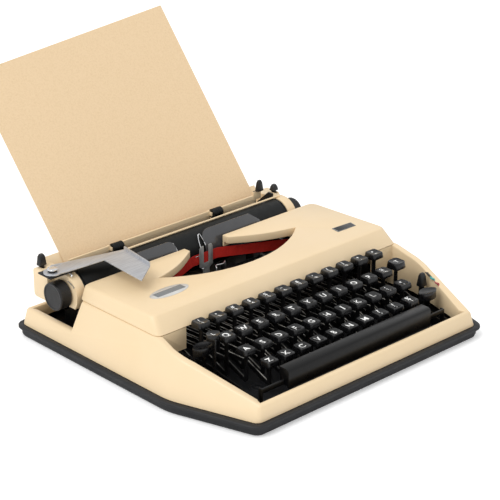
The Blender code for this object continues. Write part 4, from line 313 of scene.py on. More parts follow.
def dress(node, finish, softEdge, segments=2, drop=(), name=None):
    # copies a node, rounds its edges, and shows the copy in the node's place
    name = name or node + "_shown"
    mesh = cadCopy(node, drop)
    mesh.materials.clear()
    mesh.materials.append(materials[finish])
    if softEdge:
        mesh = plainMesh(name, mesh, [
            ("BEVEL", {"width": softEdge, "segments": segments, "limit_method": 'ANGLE',
                       "angle_limit": math.radians(meshCare["bevelAngle"]),
                       "use_clamp_overlap": True, "miter_outer": 'MITER_ARC'}),
        ])
    smoothed(mesh, meshCare["dressedAngle"])
    piece = addPiece(name, mesh, bodyOf[node])
    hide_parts(node)
    return piece


def lathe(name, profile, count, centre, along='X', angle=meshCare["smoothAngle"]):
    # turned mesh: profile holds (radius, place along the axis)
    vertices = []
    for radius, place in profile:
        for i in range(count):
            turn = 2.0 * math.pi * i / count
            u, v = radius * math.cos(turn), radius * math.sin(turn)
            point = {'X': (place, u, v), 'Y': (u, place, v), 'Z': (u, v, place)}[along]
            vertices.append(Vector(centre) + Vector(point))
    faces = ringFaces(len(profile), count)
    if profile[0][0] > 0.0:
        faces.append(tuple(range(count)))
    if profile[-1][0] > 0.0:
        faces.append(tuple((len(profile) - 1) * count + i for i in range(count)))
    return meshFrom(name, vertices, faces, angle)


surfaceTrees = {}
probe = {"from": 1.0, "rimHeight": 0.06}


def heightOn(node, x, y):
    # height of a node's top surface above a point of the ground, or of its nearest rim
    if node not in surfaceTrees:
        mesh = frame["nodes"][node].data
        surfaceTrees[node] = BVHTree.FromPolygons([v.co for v in mesh.vertices],
                                                  [p.vertices for p in mesh.polygons])
    hit = surfaceTrees[node].ray_cast(Vector((x, y, probe["from"])), Vector((0.0, 0.0, -1.0)))
    if hit[0] is None:
        hit = surfaceTrees[node].find_nearest(Vector((x, y, probe["rimHeight"])))
    return hit[0].z


# Pieces that keep the CAD's shape: finish, and how far their edges are rounded

dressedNodes = {
    "base_pan": ("blackTray", 0.0007), "body_shell": ("beigeEnamel", 0.0009),
    "ribbon_cover": ("beigeEnamel", 0.0007), "chassis_frame": ("blackSteel", 0.0003),
    "type_segment": ("blackSteel", 0.0002), "type_bar": ("wornSteel", 0.0001),
    "ribbon_vibrator": ("wornSteel", 0.0001), "card_holder": ("smokyPlastic", 0.0005),
    "carriage_frame": ("blackSteel", 0.0003), "carriage_cover": ("beigeEnamel", 0.0005),
    "paper_bail": ("beigeEnamel", 0.0003), "return_lever": ("brushedLever", 0.0003),
    "paper_release_lever": ("knobPlastic", 0.0005), "carriage_release_lever": ("knobPlastic", 0.0005),
    "space_bar": ("spaceBlack", 0.0006), "shift_bar": ("glossKey", 0.0005),
    "shift_lock": ("glossKey", 0.0005), "tab_key": ("glossKey", 0.0005),
    "ribbon_selector": ("knobPlastic", 0.0005), "ribbon": ("inkedRibbon", 0.0),
    "ribbon_spool_left": ("wornSteel", 0.0002), "ribbon_spool_right": ("wornSteel", 0.0002),
}
bailTip = {"fromX": 0.100, "fromZ": 0.0735}


def blackenTip(piece, shape):
    # the upright at the bail's right end has a black tip
    piece.data.materials.append(materials["knobPlastic"])
    for polygon in piece.data.polygons:
        if polygon.center.x > shape["fromX"] and polygon.center.z > shape["fromZ"]:
            polygon.material_index = 1


for node, (finish, softEdge) in dressedNodes.items():
    piece = dress(node, finish, softEdge, 3 if finish == "beigeEnamel" else 2)
    if node == "paper_bail":
        blackenTip(piece, bailTip)
print("casing dressed")

# Platen, its steel shaft, both knobs and the bail's rollers

platenLow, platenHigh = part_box("platen")
platenAxis = (platenLow + platenHigh) / 2.0
platenShape = {"radius": (platenHigh.y - platenLow.y) / 2.0, "halfLength": 0.1210, "endRound": 0.0006,
               "roundShare": 0.3, "boreShare": 0.55, "shaftRadius": 0.0035, "shaftRound": 0.0003,
               "rollSides": 96, "shaftSides": 32}


def buildPlaten(shape):
    r, half, soft = shape["radius"], shape["halfLength"], shape["endRound"]
    slight = soft * shape["roundShare"]
    bore = r * shape["boreShare"]
    profile = [(bore, -half), (r - soft, -half), (r - slight, -half + slight), (r, -half + soft)]
    profile += [(r, half - soft), (r - slight, half - slight), (r - soft, half), (bore, half)]
    roll = addPiece("platen_roll_rubber",
                    lathe("platen_roll_rubber", profile, shape["rollSides"], platenAxis),
                    "platen_roll", "groundRubber")
    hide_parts("platen")
    shaft, edge, end = shape["shaftRadius"], shape["shaftRound"], platenHigh.x - platenAxis.x
    ends = [(0.0, -end), (shaft - edge, -end), (shaft, -end + edge)]
    ends += [(radius, -place) for radius, place in reversed(ends)]
    addPiece("platen_shaft", lathe("platen_shaft", ends, shape["shaftSides"], platenAxis),
             "platen_roll", "wornSteel")


knobShape = {"radius": 0.0128, "flutes": 60, "fluteDepth": 0.0003, "facePoints": 4,
             "faceSink": 0.0006, "faceShare": 0.80, "slopeShare": 0.84, "slopeSinkShare": 0.3,
             "rimRound": 0.0012, "edgeRound": 0.0004, "edgeDrop": 0.0003, "bandStart": 0.0010,
             "fluteStart": 0.0022, "fluteEnd": 0.0009, "fluteRunOut": 0.0005, "backDrop": 0.0002}


def buildKnob(node, side, shape):
    # fluted rim between two plain bands, with a shallow face
    low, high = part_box(node)
    face = high.x if side > 0 else low.x
    inner = low.x if side > 0 else high.x
    r, sink, points = shape["radius"], shape["faceSink"], shape["facePoints"]
    count = shape["flutes"] * points
    # radius, place along the axis, and whether the flutes cut into the ring
    rows = [(0.0, face - side * sink, False), (r * shape["faceShare"], face - side * sink, False),
            (r * shape["slopeShare"], face - side * sink * shape["slopeSinkShare"], False),
            (r - shape["rimRound"], face, False),
            (r - shape["edgeRound"], face - side * shape["edgeDrop"], False),
            (r, face - side * shape["bandStart"], False), (r, face - side * shape["fluteStart"], False),
            (r, face - side * (shape["fluteStart"] + shape["fluteRunOut"]), True),
            (r, inner + side * (shape["fluteEnd"] + shape["fluteRunOut"]), True),
            (r, inner + side * shape["fluteEnd"], False),
            (r - shape["edgeRound"], inner + side * shape["backDrop"], False),
            (r - shape["rimRound"], inner, False), (0.0, inner, False)]
    vertices = []
    for radius, x, fluted in rows:
        for i in range(count):
            turn = 2.0 * math.pi * i / count
            cut = shape["fluteDepth"] if fluted and i % points < points // 2 else 0.0
            vertices.append((x, platenAxis.y + (radius - cut) * math.cos(turn),
                             platenAxis.z + (radius - cut) * math.sin(turn)))
    mesh = meshFrom(node + "_shown", vertices, ringFaces(len(rows), count), meshCare["fineAngle"])
    knob = addPiece(node + "_shown", mesh, "platen_roll", "knobPlastic")
    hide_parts(node)


rollerShape = {"edge": 0.0006, "groove": 0.0003, "shoulderShare": 0.15, "grooveShare": 0.1,
               "bore": 0.0013, "sides": 48}


def buildRoller(side, shape):
    # rubber ring with a fine groove around its middle
    node = "bail_roller_" + side
    low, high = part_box(node)
    r, half, edge = (high.y - low.y) / 2.0, (high.x - low.x) / 2.0, shape["edge"]
    left = [(shape["bore"], -half), (r - edge, -half), (r, -half + edge),
            (r, -half * shape["shoulderShare"]), (r - shape["groove"], -half * shape["grooveShare"])]
    profile = left + [(radius, -place) for radius, place in reversed(left)]
    roller = addPiece(node + "_shown",
                      lathe(node + "_shown", profile, shape["sides"], (low + high) / 2.0),
                      "roller_" + side, "groundRubber")
    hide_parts(node)


buildPlaten(platenShape)
buildKnob("platen_knob_left", -1.0, knobShape)
buildKnob("platen_knob_right", 1.0, knobShape)
for side in ("left", "right"):
    buildRoller(side, rollerShape)
print("carriage dressed")

# Key caps: rounded squares with a dished top, on the CAD's own levers

capShape = {"topHalf": 0.0061, "baseHalf": 0.0067, "height": 0.0080, "skirt": 0.0052,
            "neckHalf": 0.0024, "neckFlare": 0.0006, "underRise": 0.0002, "lip": 0.0008,
            "lipRound": 0.0002, "lipHeight": 0.0004, "belly": 0.0003, "skirtShares": (0.35, 0.7),
            "rimSteps": ((0.0, 0.0009), (0.0001, 0.00045), (0.00032, 0.00012), (0.0006, 0.0)),
            "dish": 0.0011, "dishRadius": 0.0054, "dishShares": (0.90, 0.76, 0.60, 0.44, 0.28, 0.12),
            "cornerShare": 0.36, "cornerPoints": 6, "sidePieces": 7, "legendLift": 0.00004}
cutShape = {"slack": 0.0002, "slabTop": 0.0003, "headroom": 0.001, "stemRoom": 0.0048,
            "leverEdge": 0.00015, "smoothAngle": 50.0}
legendShape = {"single": 0.0082, "pair": 0.0049, "point": 0.0066, "pairStep": 0.0024,
               "shiftX": -0.0003, "weight": 0.018, "curveSteps": 3}


def squareRing(cx, cy, half, shape):
    # a rounded square whose sides are cut into short pieces, so that they follow the dish
    radius, points = half * shape["cornerShare"], shape["cornerPoints"]
    corners = []
    for quarter, (sx, sy) in enumerate(((1, 1), (-1, 1), (-1, -1), (1, -1))):
        for i in range(points):
            turn = math.pi / 2.0 * (quarter + i / (points - 1))
            corners.append((cx + sx * (half - radius) + radius * math.cos(turn),
                            cy + sy * (half - radius) + radius * math.sin(turn)))
    ring = []
    for i, start in enumerate(corners):
        end = corners[(i + 1) % len(corners)]
        pieces = shape["sidePieces"] if (i + 1) % points == 0 else 1
        for k in range(pieces):
            t = k / pieces
            ring.append((start[0] + (end[0] - start[0]) * t, start[1] + (end[1] - start[1]) * t))
    return ring


def dishHeight(shape, top, dx, dy):
    share = min(1.0, math.hypot(dx, dy) / shape["dishRadius"])
    return top - shape["dish"] * (1.0 - share * share)


def capLevels(shape, top):
    # half width, height, and whether the ring lies in the dish
    topHalf, baseHalf, neckHalf = shape["topHalf"], shape["baseHalf"], shape["neckHalf"]
    foot, under = top - shape["skirt"], top - shape["skirt"] + shape["underRise"]
    levels = [(neckHalf, top - shape["height"], False), (neckHalf, foot - shape["neckFlare"], False),
              (neckHalf + shape["neckFlare"], under, False), (baseHalf - shape["lip"], under, False),
              (baseHalf - shape["lipRound"], foot, False), (baseHalf, foot + shape["lipHeight"], False)]
    for t in shape["skirtShares"]:
        levels.append((baseHalf + (topHalf - baseHalf) * t,
                       top - (shape["skirt"] - shape["belly"]) * (1.0 - t), False))
    levels += [(topHalf - inset, top - drop, False) for inset, drop in shape["rimSteps"]]
    dishHalf = topHalf - shape["rimSteps"][-1][0]
    return levels + [(dishHalf * t, top, True) for t in shape["dishShares"]]


def capFaces(work, shape, cx, cy, top):
    # adds one cap to a bmesh: neck, skirt, rounded rim and dish
    rings = []
    for half, z, dished in capLevels(shape, top):
        ring = []
        for x, y in squareRing(cx, cy, half, shape):
            height = dishHeight(shape, top, x - cx, y - cy) if dished else z
            ring.append(work.verts.new((x, y, height)))
        rings.append(ring)
    count = len(rings[0])
    for first, second in zip(rings, rings[1:]):
        for i in range(count):
            k = (i + 1) % count
            work.faces.new((first[i], first[k], second[k], second[i])).smooth = True
    work.faces.new(list(reversed(rings[0])))
    work.faces.new(rings[-1])


def textMesh(text, size):
    curve = bpy.data.curves.new("legend", 'FONT')
    curve.body = text
    curve.size = size
    curve.align_x = 'CENTER'
    curve.align_y = 'CENTER'
    curve.offset = size * legendShape["weight"]
    curve.resolution_u = legendShape["curveSteps"]
    return plainMesh("legend", curve)


def legendMesh(name, shape, marks, caps):
    # white marks laid on the dishes; marks holds (text, size, dx, dy, cap number)
    work = bmesh.new()
    for text, size, dx, dy, number in marks:
        cx, cy, top = caps[number]
        flat = textMesh(text, size)
        corners = [v.co for v in flat.vertices]
        midX = (max(c.x for c in corners) + min(c.x for c in corners)) / 2.0
        midY = (max(c.y for c in corners) + min(c.y for c in corners)) / 2.0
        place = []
        for c in corners:
            x, y = dx + c.x - midX, dy + c.y - midY
            z = dishHeight(shape, top, x, y) + shape["legendLift"]
            place.append(work.verts.new((cx + x, cy + y, z)))
        for polygon in flat.polygons:
            face = work.faces.new([place[i] for i in polygon.vertices])
            face.normal_update()
            if face.normal.z < 0.0:
                face.normal_flip()
        bpy.data.meshes.remove(flat)
    mesh = bpy.data.meshes.new(name)
    work.to_mesh(mesh)
    work.free()
    return mesh


def capCuts(caps, shape):
    # boxes that take the CAD's plain cap away and leave the lever's stem
    half, keep, slack = capShape["baseHalf"] + shape["slack"], shape["stemRoom"], shape["slack"]
    sides = (((-half, -half), (-keep, half)), ((keep, -half), (half, half)),
             ((-half, -half), (half, -keep)), ((-half, keep), (half, half)))
    cuts = []
    for cx, cy, top in caps:
        base = top - capShape["height"]
        cuts.append(((cx - half, cy - half, base + slack), (cx + half, cy + half, top + shape["headroom"])))
        for low, high in sides:
            cuts.append(((cx + low[0], cy + low[1], base - slack),
                         (cx + high[0], cy + high[1], base + shape["slabTop"])))
    return cuts


def buildCaps(node, caps, marks):
    # caps with their legends, and the lever below them without the CAD's plain caps
    work = bmesh.new()
    for cx, cy, top in caps:
        capFaces(work, capShape, cx, cy, top)
    bmesh.ops.recalc_face_normals(work, faces=work.faces)
    mesh = bpy.data.meshes.new(node + "_cap")
    work.to_mesh(mesh)
    work.free()
    smoothed(mesh, cutShape["smoothAngle"])
    addPiece(node + "_cap", mesh, bodyOf[node], "glossKey")
    legend = legendMesh(node + "_legend", capShape, marks, caps)
    addPiece(node + "_legend", legend, bodyOf[node], "whitePaint")
    dress(node, "leverSteel", cutShape["leverEdge"], drop=capCuts(caps, cutShape), name=node + "_lever")


def single(text):
    return [(text, legendShape["single"], legendShape["shiftX"], 0.0, 0)]


def pair(upper, lower, number=0, size=legendShape["pair"]):
    step = legendShape["pairStep"]
    return [(upper, size, 0.0, step, number), (lower, size, 0.0, -step, number)]


pointKeys = {"semicolon": (":", ";"), "quote": ('"', "'"), "comma": ("?", ","), "period": ("!", "."),
             "slash": ("%", "/")}
for node in sorted(node for node in frame["nodes"] if node.startswith("key_")):
    low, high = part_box(node)
    label = node[len("key_"):]
    if label in pointKeys:
        marks = pair(*pointKeys[label], size=legendShape["point"])
    else:
        marks = single(label.upper())
    buildCaps(node, [((low.x + high.x) / 2.0, low.y + capShape["baseHalf"], high.z)], marks)

# the figure row, and the key beyond P in line with the Q row
figureLegends = (("!", "1"), ('"', "2"), ("#", "3"), ("$", "4"), ("%", "5"), ("_", "6"), ("&", "7"),
                 ("'", "8"), ("(", "9"), (")", "0"), ("*", "-"), ("+", "="))
rowShape = {"lettersInQRow": 10, "figureRowBack": 0.0207, "beyondP": ("¼", "½")}


def buildFigureRow(shape):
    figureLow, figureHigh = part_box("figure_keys")
    qLow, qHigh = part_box("key_q")
    reach, letters = capShape["baseHalf"], shape["lettersInQRow"]
    pitch = (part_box("key_p")[0].x - qLow.x) / (letters - 1)
    rowY = qLow.y + reach + shape["figureRowBack"]
    caps = [(figureLow.x + reach + i * pitch, rowY, figureHigh.z) for i in range(len(figureLegends))]
    caps.append((qLow.x + reach + letters * pitch, qLow.y + reach, qHigh.z))
    marks = []
    for number, (upper, lower) in enumerate((*figureLegends, shape["beyondP"])):
        marks += pair(upper, lower, number)
    buildCaps("figure_keys", caps, marks)


buildFigureRow(rowShape)

# marks on the tab key and on the shift lock, which keep the CAD's own caps
flatCap = dict(capShape, dish=0.0)
flatLegends = {"tab_key": ("T", 0.0062), "shift_lock": ("L", 0.0055)}  # text and its size
flatLift = 0.0001
for node, (text, size) in flatLegends.items():
    low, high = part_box(node)
    x, y = (low.x + high.x) / 2.0, low.y + (high.x - low.x) / 2.0
    spot = [(x, y, heightOn(node, x, y) + flatLift)]
    addPiece(node + "_legend", legendMesh(node + "_legend", flatCap, [(text, size, 0.0, 0.0, 0)], spot),
             bodyOf[node], "whitePaint")
print("keyboard dressed")

# The loose sheet, subdivided and very slightly uneven

sheetShape = {"across": 36, "along": 34, "wave": 0.00012, "wavesAcross": 9.0, "wavesAlong": 4.0,
              "sameCorner": 0.00001, "smoothAngle": 40.0}


def sheetCorners(shape):
    # the CAD sheet's front corners from low left to high right, its way forward and its thickness
    corners = []
    for v in frame["nodes"]["paper_sheet"].data.vertices:
        if all((v.co - c).length > shape["sameCorner"] for c in corners):
            corners.append(v.co.copy())
    centre = sum(corners, Vector()) / len(corners)
    thickness, first, second = min(((a - b).length, i, j) for i, a in enumerate(corners)
                                   for j, b in enumerate(corners) if i < j)
    forward = (corners[first] - corners[second]).normalized()
    if forward.y > 0.0:
        forward = -forward
    front = sorted((c for c in corners if (c - centre).dot(forward) > 0.0), key=lambda c: c.z)
    low = sorted(front[:2], key=lambda c: c.x)
    high = sorted(front[2:], key=lambda c: c.x)
    return low, high, forward, thickness


def buildSheet(shape):
    # both sides as fine grids that wave a little, joined around the edge
    low, high, forward, thickness = sheetCorners(shape)
    across, along = shape["across"], shape["along"]
    vertices, faces = [], []
    for side in (0, 1):
        for j in range(along + 1):
            for i in range(across + 1):
                u, v = i / across, j / along
                point = low[0].lerp(low[1], u).lerp(high[0].lerp(high[1], u), v)
                fade = 16.0 * u * (1.0 - u) * v * (1.0 - v)  # 1 in the middle, 0 at the edges
                phase = u * shape["wavesAcross"] + v * shape["wavesAlong"]
                wave = shape["wave"] * fade * (math.sin(phase) - 1.0) / 2.0
                vertices.append(point + forward * (wave - side * thickness))
    stride = (across + 1) * (along + 1)
    for j in range(along):
        for i in range(across):
            a = j * (across + 1) + i
            quad = (a, a + 1, a + across + 2, a + across + 1)
            faces.append(quad)
            faces.append(tuple(stride + k for k in reversed(quad)))
    edge = list(range(across)) + [across + j * (across + 1) for j in range(along)]
    edge += [stride - 1 - i for i in range(across)] + [(along - j) * (across + 1) for j in range(along)]
    for k, a in enumerate(edge):
        b = edge[(k + 1) % len(edge)]
        faces.append((a, b, stride + b, stride + a))
    mesh = meshFrom("paper_sheet_shown", vertices, faces, shape["smoothAngle"])
    sheet = addPiece("paper_sheet_shown", mesh, "sheet", "kraftSheet")
    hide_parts("paper_sheet")


buildSheet(sheetShape)
print("sheet laid")

# Bare badges on the cover and the marks on the right arm

plateShape = {"sink": 0.0004, "shoulderShare": 0.6, "topShare": 0.97, "smoothAngle": 40.0}


def plateOn(name, outline, node, rise, body, finish):
    # a thin plate with a soft top edge, following the height of a node under its outline
    centre = Vector((sum(p[0] for p in outline) / len(outline), sum(p[1] for p in outline) / len(outline)))
    bottom, shoulder, top = [], [], []
    for x, y in outline:
        z = heightOn(node, x, y)
        inner = centre + (Vector((x, y)) - centre) * plateShape["topShare"]
        bottom.append((x, y, z - plateShape["sink"]))
        shoulder.append((x, y, z + rise * plateShape["shoulderShare"]))
        top.append((inner.x, inner.y, z + rise))
    count = len(outline)
    faces = [tuple(reversed(range(count))), tuple(range(2 * count, 3 * count))]
    faces += ringFaces(3, count)
    mesh = meshFrom(name, bottom + shoulder + top, faces, plateShape["smoothAngle"])
    return addPiece(name, mesh, body, finish)


def ovalOutline(cx, cy, halfX, halfY, count):
    turns = [2 * math.pi * i / count for i in range(count)]
    return [(cx + halfX * math.cos(turn), cy + halfY * math.sin(turn)) for turn in turns]


def oblong(cx, cy, halfX, halfY):
    return [(cx + sx * halfX, cy + sy * halfY) for sx, sy in ((-1, -1), (1, -1), (1, 1), (-1, 1))]


badgeShape = {"ovalCentre": (-0.0965, 0.0085), "ovalHalf": (0.0205, 0.0088), "ovalPoints": 48,
              "barHalf": (0.0160, 0.0040), "rise": 0.0005, "faceRise": 0.00008, "faceShare": 0.92,
              "slantCorners": ((0.1007, 0.0004), (0.1236, 0.0000), (0.1257, 0.0086), (0.1025, 0.0102))}


def buildBadges(shape):
    rise, raised = shape["rise"], shape["rise"] + shape["faceRise"]
    oval = ovalOutline(*shape["ovalCentre"], *shape["ovalHalf"], shape["ovalPoints"])
    plateOn("badge_oval", oval, "ribbon_cover", rise, "cover", "badgeSilver")
    bar = oblong(*shape["ovalCentre"], *shape["barHalf"])
    plateOn("badge_oval_bar", bar, "ribbon_cover", raised, "cover", "badgeGrey")
    corners = shape["slantCorners"]
    plateOn("badge_slant", corners, "ribbon_cover", rise, "cover", "badgeGrey")
    middle = sum((Vector(c) for c in corners), Vector((0.0, 0.0))) / len(corners)
    inner = [tuple(middle + (Vector(c) - middle) * shape["faceShare"]) for c in corners]
    plateOn("badge_slant_face", inner, "ribbon_cover", raised, "cover", "badgeBlack")


markShape = {"stripes": 4, "from": (0.1352, -0.0778), "to": (0.1335, -0.0844), "halfWidth": 0.0021,
             "fillShare": 0.30, "stripeRise": 0.00006, "dotHalf": (0.0023, 0.0024), "dotPoints": 20,
             "dotRise": 0.0001, "dots": (("arm_mark_teal", (0.1330, -0.0873), "markTeal"),
                                         ("arm_mark_red", (0.1316, -0.0939), "markRed"))}


def buildMarks(shape):
    start, end = Vector(shape["from"]), Vector(shape["to"])
    count = shape["stripes"]
    half = (end - start).length / count * shape["fillShare"]
    for i in range(count):
        centre = start.lerp(end, (i + 0.5) / count)
        outline = oblong(centre.x, centre.y, shape["halfWidth"], half)
        plateOn("arm_stripe_%d" % i, outline, "body_shell", shape["stripeRise"],
                "casing", "badgeBlack")
    for name, place, finish in shape["dots"]:
        outline = ovalOutline(*place, *shape["dotHalf"], shape["dotPoints"])
        plateOn(name, outline, "body_shell", shape["dotRise"], "casing", finish)


buildBadges(badgeShape)
buildMarks(markShape)

# Small metal fittings: wires, the link at the right release, rivets, and the boss in the tray

wireCare = {"bendSteps": 5, "bendShare": 0.45, "roundness": 3}


def rounded(points, radius):
    # path with its inner corners turned into arcs
    result = [Vector(points[0])]
    for i in range(1, len(points) - 1):
        before, corner, after = Vector(points[i - 1]), Vector(points[i]), Vector(points[i + 1])
        back, on = before - corner, after - corner
        reach = min(radius, back.length * wireCare["bendShare"], on.length * wireCare["bendShare"])
        start, end = corner + back.normalized() * reach, corner + on.normalized() * reach
        for step in range(wireCare["bendSteps"] + 1):
            t = step / wireCare["bendSteps"]
            result.append(start.lerp(corner, t).lerp(corner.lerp(end, t), t))
    result.append(Vector(points[-1]))
    return result


def addWire(name, body, slot, finish, radius, bend, path):
    points = rounded(path, bend)
    curve = bpy.data.curves.new(name, 'CURVE')
    curve.dimensions = '3D'
    curve.bevel_depth = radius
    curve.bevel_resolution = wireCare["roundness"]
    curve.use_fill_caps = True
    spline = curve.splines.new('POLY')
    spline.points.add(len(points) - 1)
    for point, place in zip(spline.points, points):
        point.co = (*place, 1.0)
    return addPiece(name, smoothed(plainMesh(name, curve), meshCare["wireAngle"]), body, finish)


# name: body, slot, finish, radius, bend, path
wires = {
    # bent wires that hold a card's edges at the inner ends of the two holders
    "card_wire_right": ("casing", "lever_metal", "chrome", 0.00045, 0.002, (
        (-0.0006, 0.0756, 0.0566), (0.0002, 0.0798, 0.0636), (0.0018, 0.0822, 0.0680),
        (0.0035, 0.0822, 0.0680), (0.0052, 0.0796, 0.0632), (0.0058, 0.0764, 0.0580))),
    "card_wire_left": ("casing", "lever_metal", "chrome", 0.00045, 0.002, (
        (-0.0262, 0.0764, 0.0580), (-0.0268, 0.0796, 0.0632), (-0.0285, 0.0822, 0.0680),
        (-0.0300, 0.0822, 0.0680), (-0.0318, 0.0798, 0.0636), (-0.0326, 0.0756, 0.0566))),
    # type guide in front of the card holders, and the bent wire on the segment
    "type_guide_bar": ("casing", "dark_steel", "chrome", 0.0007, 0.0008, (
        (-0.0125, 0.0722, 0.0530), (-0.0125, 0.0706, 0.0530), (-0.0030, 0.0706, 0.0534),
        (-0.0030, 0.0722, 0.0534))),
    "segment_wire": ("casing", "dark_steel", "chrome", 0.0006, 0.0012, (
        (0.0035, 0.0590, 0.0370), (0.0035, 0.0590, 0.0420), (0.0060, 0.0634, 0.0420),
        (0.0142, 0.0616, 0.0420), (0.0200, 0.0655, 0.0420), (0.0200, 0.0655, 0.0370))),
    # bent link beside the return lever's pivot
    "lever_pawl_link": ("carriage", "dark_steel", "chrome", 0.0007, 0.0016, (
        (-0.1450, 0.0985, 0.0716), (-0.1398, 0.0957, 0.0716), (-0.1408, 0.0850, 0.0702),
        (-0.1420, 0.0850, 0.0690))),
}
for name, wire in wires.items():
    addWire(name, *wire)

linkShape = {"places": ((0.1105, 0.1072), (0.1178, 0.1100), (0.1235, 0.1086)), "radius": 0.0009,
             "lift": 0.0002, "bend": 0.002, "headRadius": 0.0021, "headHeight": 0.0014}
headShape = {"sink": 0.0002, "sides": 28,
             "domeShares": ((1.0, 0.35), (0.92, 0.62), (0.70, 0.85), (0.38, 0.97), (0.0, 1.0))}


def addHead(name, centre, along, radius, height, body, finish):
    # low domed head of a rivet or pin, standing on a surface; a negative height turns it round
    sink = math.copysign(headShape["sink"], height)
    profile = [(radius, -sink)]
    profile += [(radius * across, height * up) for across, up in headShape["domeShares"]]
    mesh = lathe(name, profile, headShape["sides"], centre, along)
    return addPiece(name, mesh, body, finish)


def buildLink(shape):
    lift = shape["radius"] + shape["lift"]
    path = [(x, y, heightOn("carriage_cover", x, y) + lift) for x, y in shape["places"]]
    addWire("release_link", "carriage", "dark_steel", "warmBrass", shape["radius"], shape["bend"], path)
    for number, place in enumerate((path[0], path[-1])):
        addHead("release_link_pin_%d" % number, place, 'Z', shape["headRadius"], shape["headHeight"],
                "carriage", "warmBrass")


buildLink(linkShape)

# name: place, axis, radius, height, body, finish
heads = {"lever_pivot_dome": ((-0.1544, 0.0947, 0.0770), 'Z', 0.0047, 0.0013, "carriage", "chrome"),
         "vibrator_rivet": ((-0.0041, 0.0689, 0.0395), 'Y', 0.0011, -0.0006, "vibrator", "chrome")}
for name, head in heads.items():
    addHead(name, *head)

# share of the radius, and height above the tray's floor; low enough for the key levers' dip
bossShape = {"place": (-0.0769, -0.0802), "radius": 0.0075, "sides": 40,
             "steps": ((1.0, -0.0002), (1.0, 0.0004), (0.9, 0.0007), (0.66, 0.0008), (0.6, 0.0006),
                       (0.3, 0.0006), (0.22, 0.0010), (0.0, 0.0011))}


def buildBoss(shape):
    foot = (*shape["place"], heightOn("base_pan", *shape["place"]))
    profile = [(shape["radius"] * share, height) for share, height in shape["steps"]]
    addPiece("pan_boss", lathe("pan_boss", profile, shape["sides"], foot, 'Z'),
             "casing", "blackTray")


buildBoss(bossShape)
print("fittings placed")

# Rows that follow a rule, grown with Geometry Nodes: type slugs on the fan, marks on the housing

def vectorOf(tree, operation, first, second=None, scale=None):
    node = tree.nodes.new("ShaderNodeVectorMath")
    node.operation = operation
    link(tree, first, node.inputs[0])
    if second is not None:
        link(tree, second, node.inputs[1])
    if scale is not None:
        link(tree, scale, node.inputs["Scale"])
    return node.outputs["Vector"]


def openTree(name, sockets):
    # a tree with the given piece, the named inputs and a material
    tree = bpy.data.node_groups.new(name, 'GeometryNodeTree')
    tree.interface.new_socket(name="Geometry", in_out='INPUT', socket_type='NodeSocketGeometry')
    for label, kind, value in sockets:
        socket = tree.interface.new_socket(name=label, in_out='INPUT', socket_type='NodeSocket' + kind)
        socket.default_value = value
    tree.interface.new_socket(name="Material", in_out='INPUT', socket_type='NodeSocketMaterial')
    tree.interface.new_socket(name="Geometry", in_out='OUTPUT', socket_type='NodeSocketGeometry')
    return tree, tree.nodes.new("NodeGroupInput"), tree.nodes.new("NodeGroupOutput")


def closeTree(tree, given, result, place, turn, chosen=None, size=None):
    # copies of the given piece on the places, made real and given their material
    points = tree.nodes.new("GeometryNodePoints")
    link(tree, given.outputs["Count"], points.inputs["Count"])
    link(tree, place, points.inputs["Position"])
    angles = tree.nodes.new("FunctionNodeEulerToRotation")
    link(tree, turn, angles.inputs["Euler"])
    copies = tree.nodes.new("GeometryNodeInstanceOnPoints")
    link(tree, points.outputs["Points"], copies.inputs["Points"])
    link(tree, given.outputs["Geometry"], copies.inputs["Instance"])
    link(tree, angles.outputs["Rotation"], copies.inputs["Rotation"])
    if chosen is not None:
        link(tree, chosen, copies.inputs["Selection"])
    if size is not None:
        link(tree, size, copies.inputs["Scale"])
    real = tree.nodes.new("GeometryNodeRealizeInstances")
    painted = tree.nodes.new("GeometryNodeSetMaterial")
    link(tree, copies.outputs["Instances"], real.inputs["Geometry"])
    link(tree, real.outputs["Geometry"], painted.inputs["Geometry"])
    link(tree, given.outputs["Material"], painted.inputs["Material"])
    link(tree, painted.outputs["Geometry"], result.inputs["Geometry"])


def shareAlong(tree, index, given):
    # 0 at the first copy, 1 at the last
    return valueOf(tree, 'DIVIDE', index, valueOf(tree, 'SUBTRACT', given.outputs["Count"], 1.0))


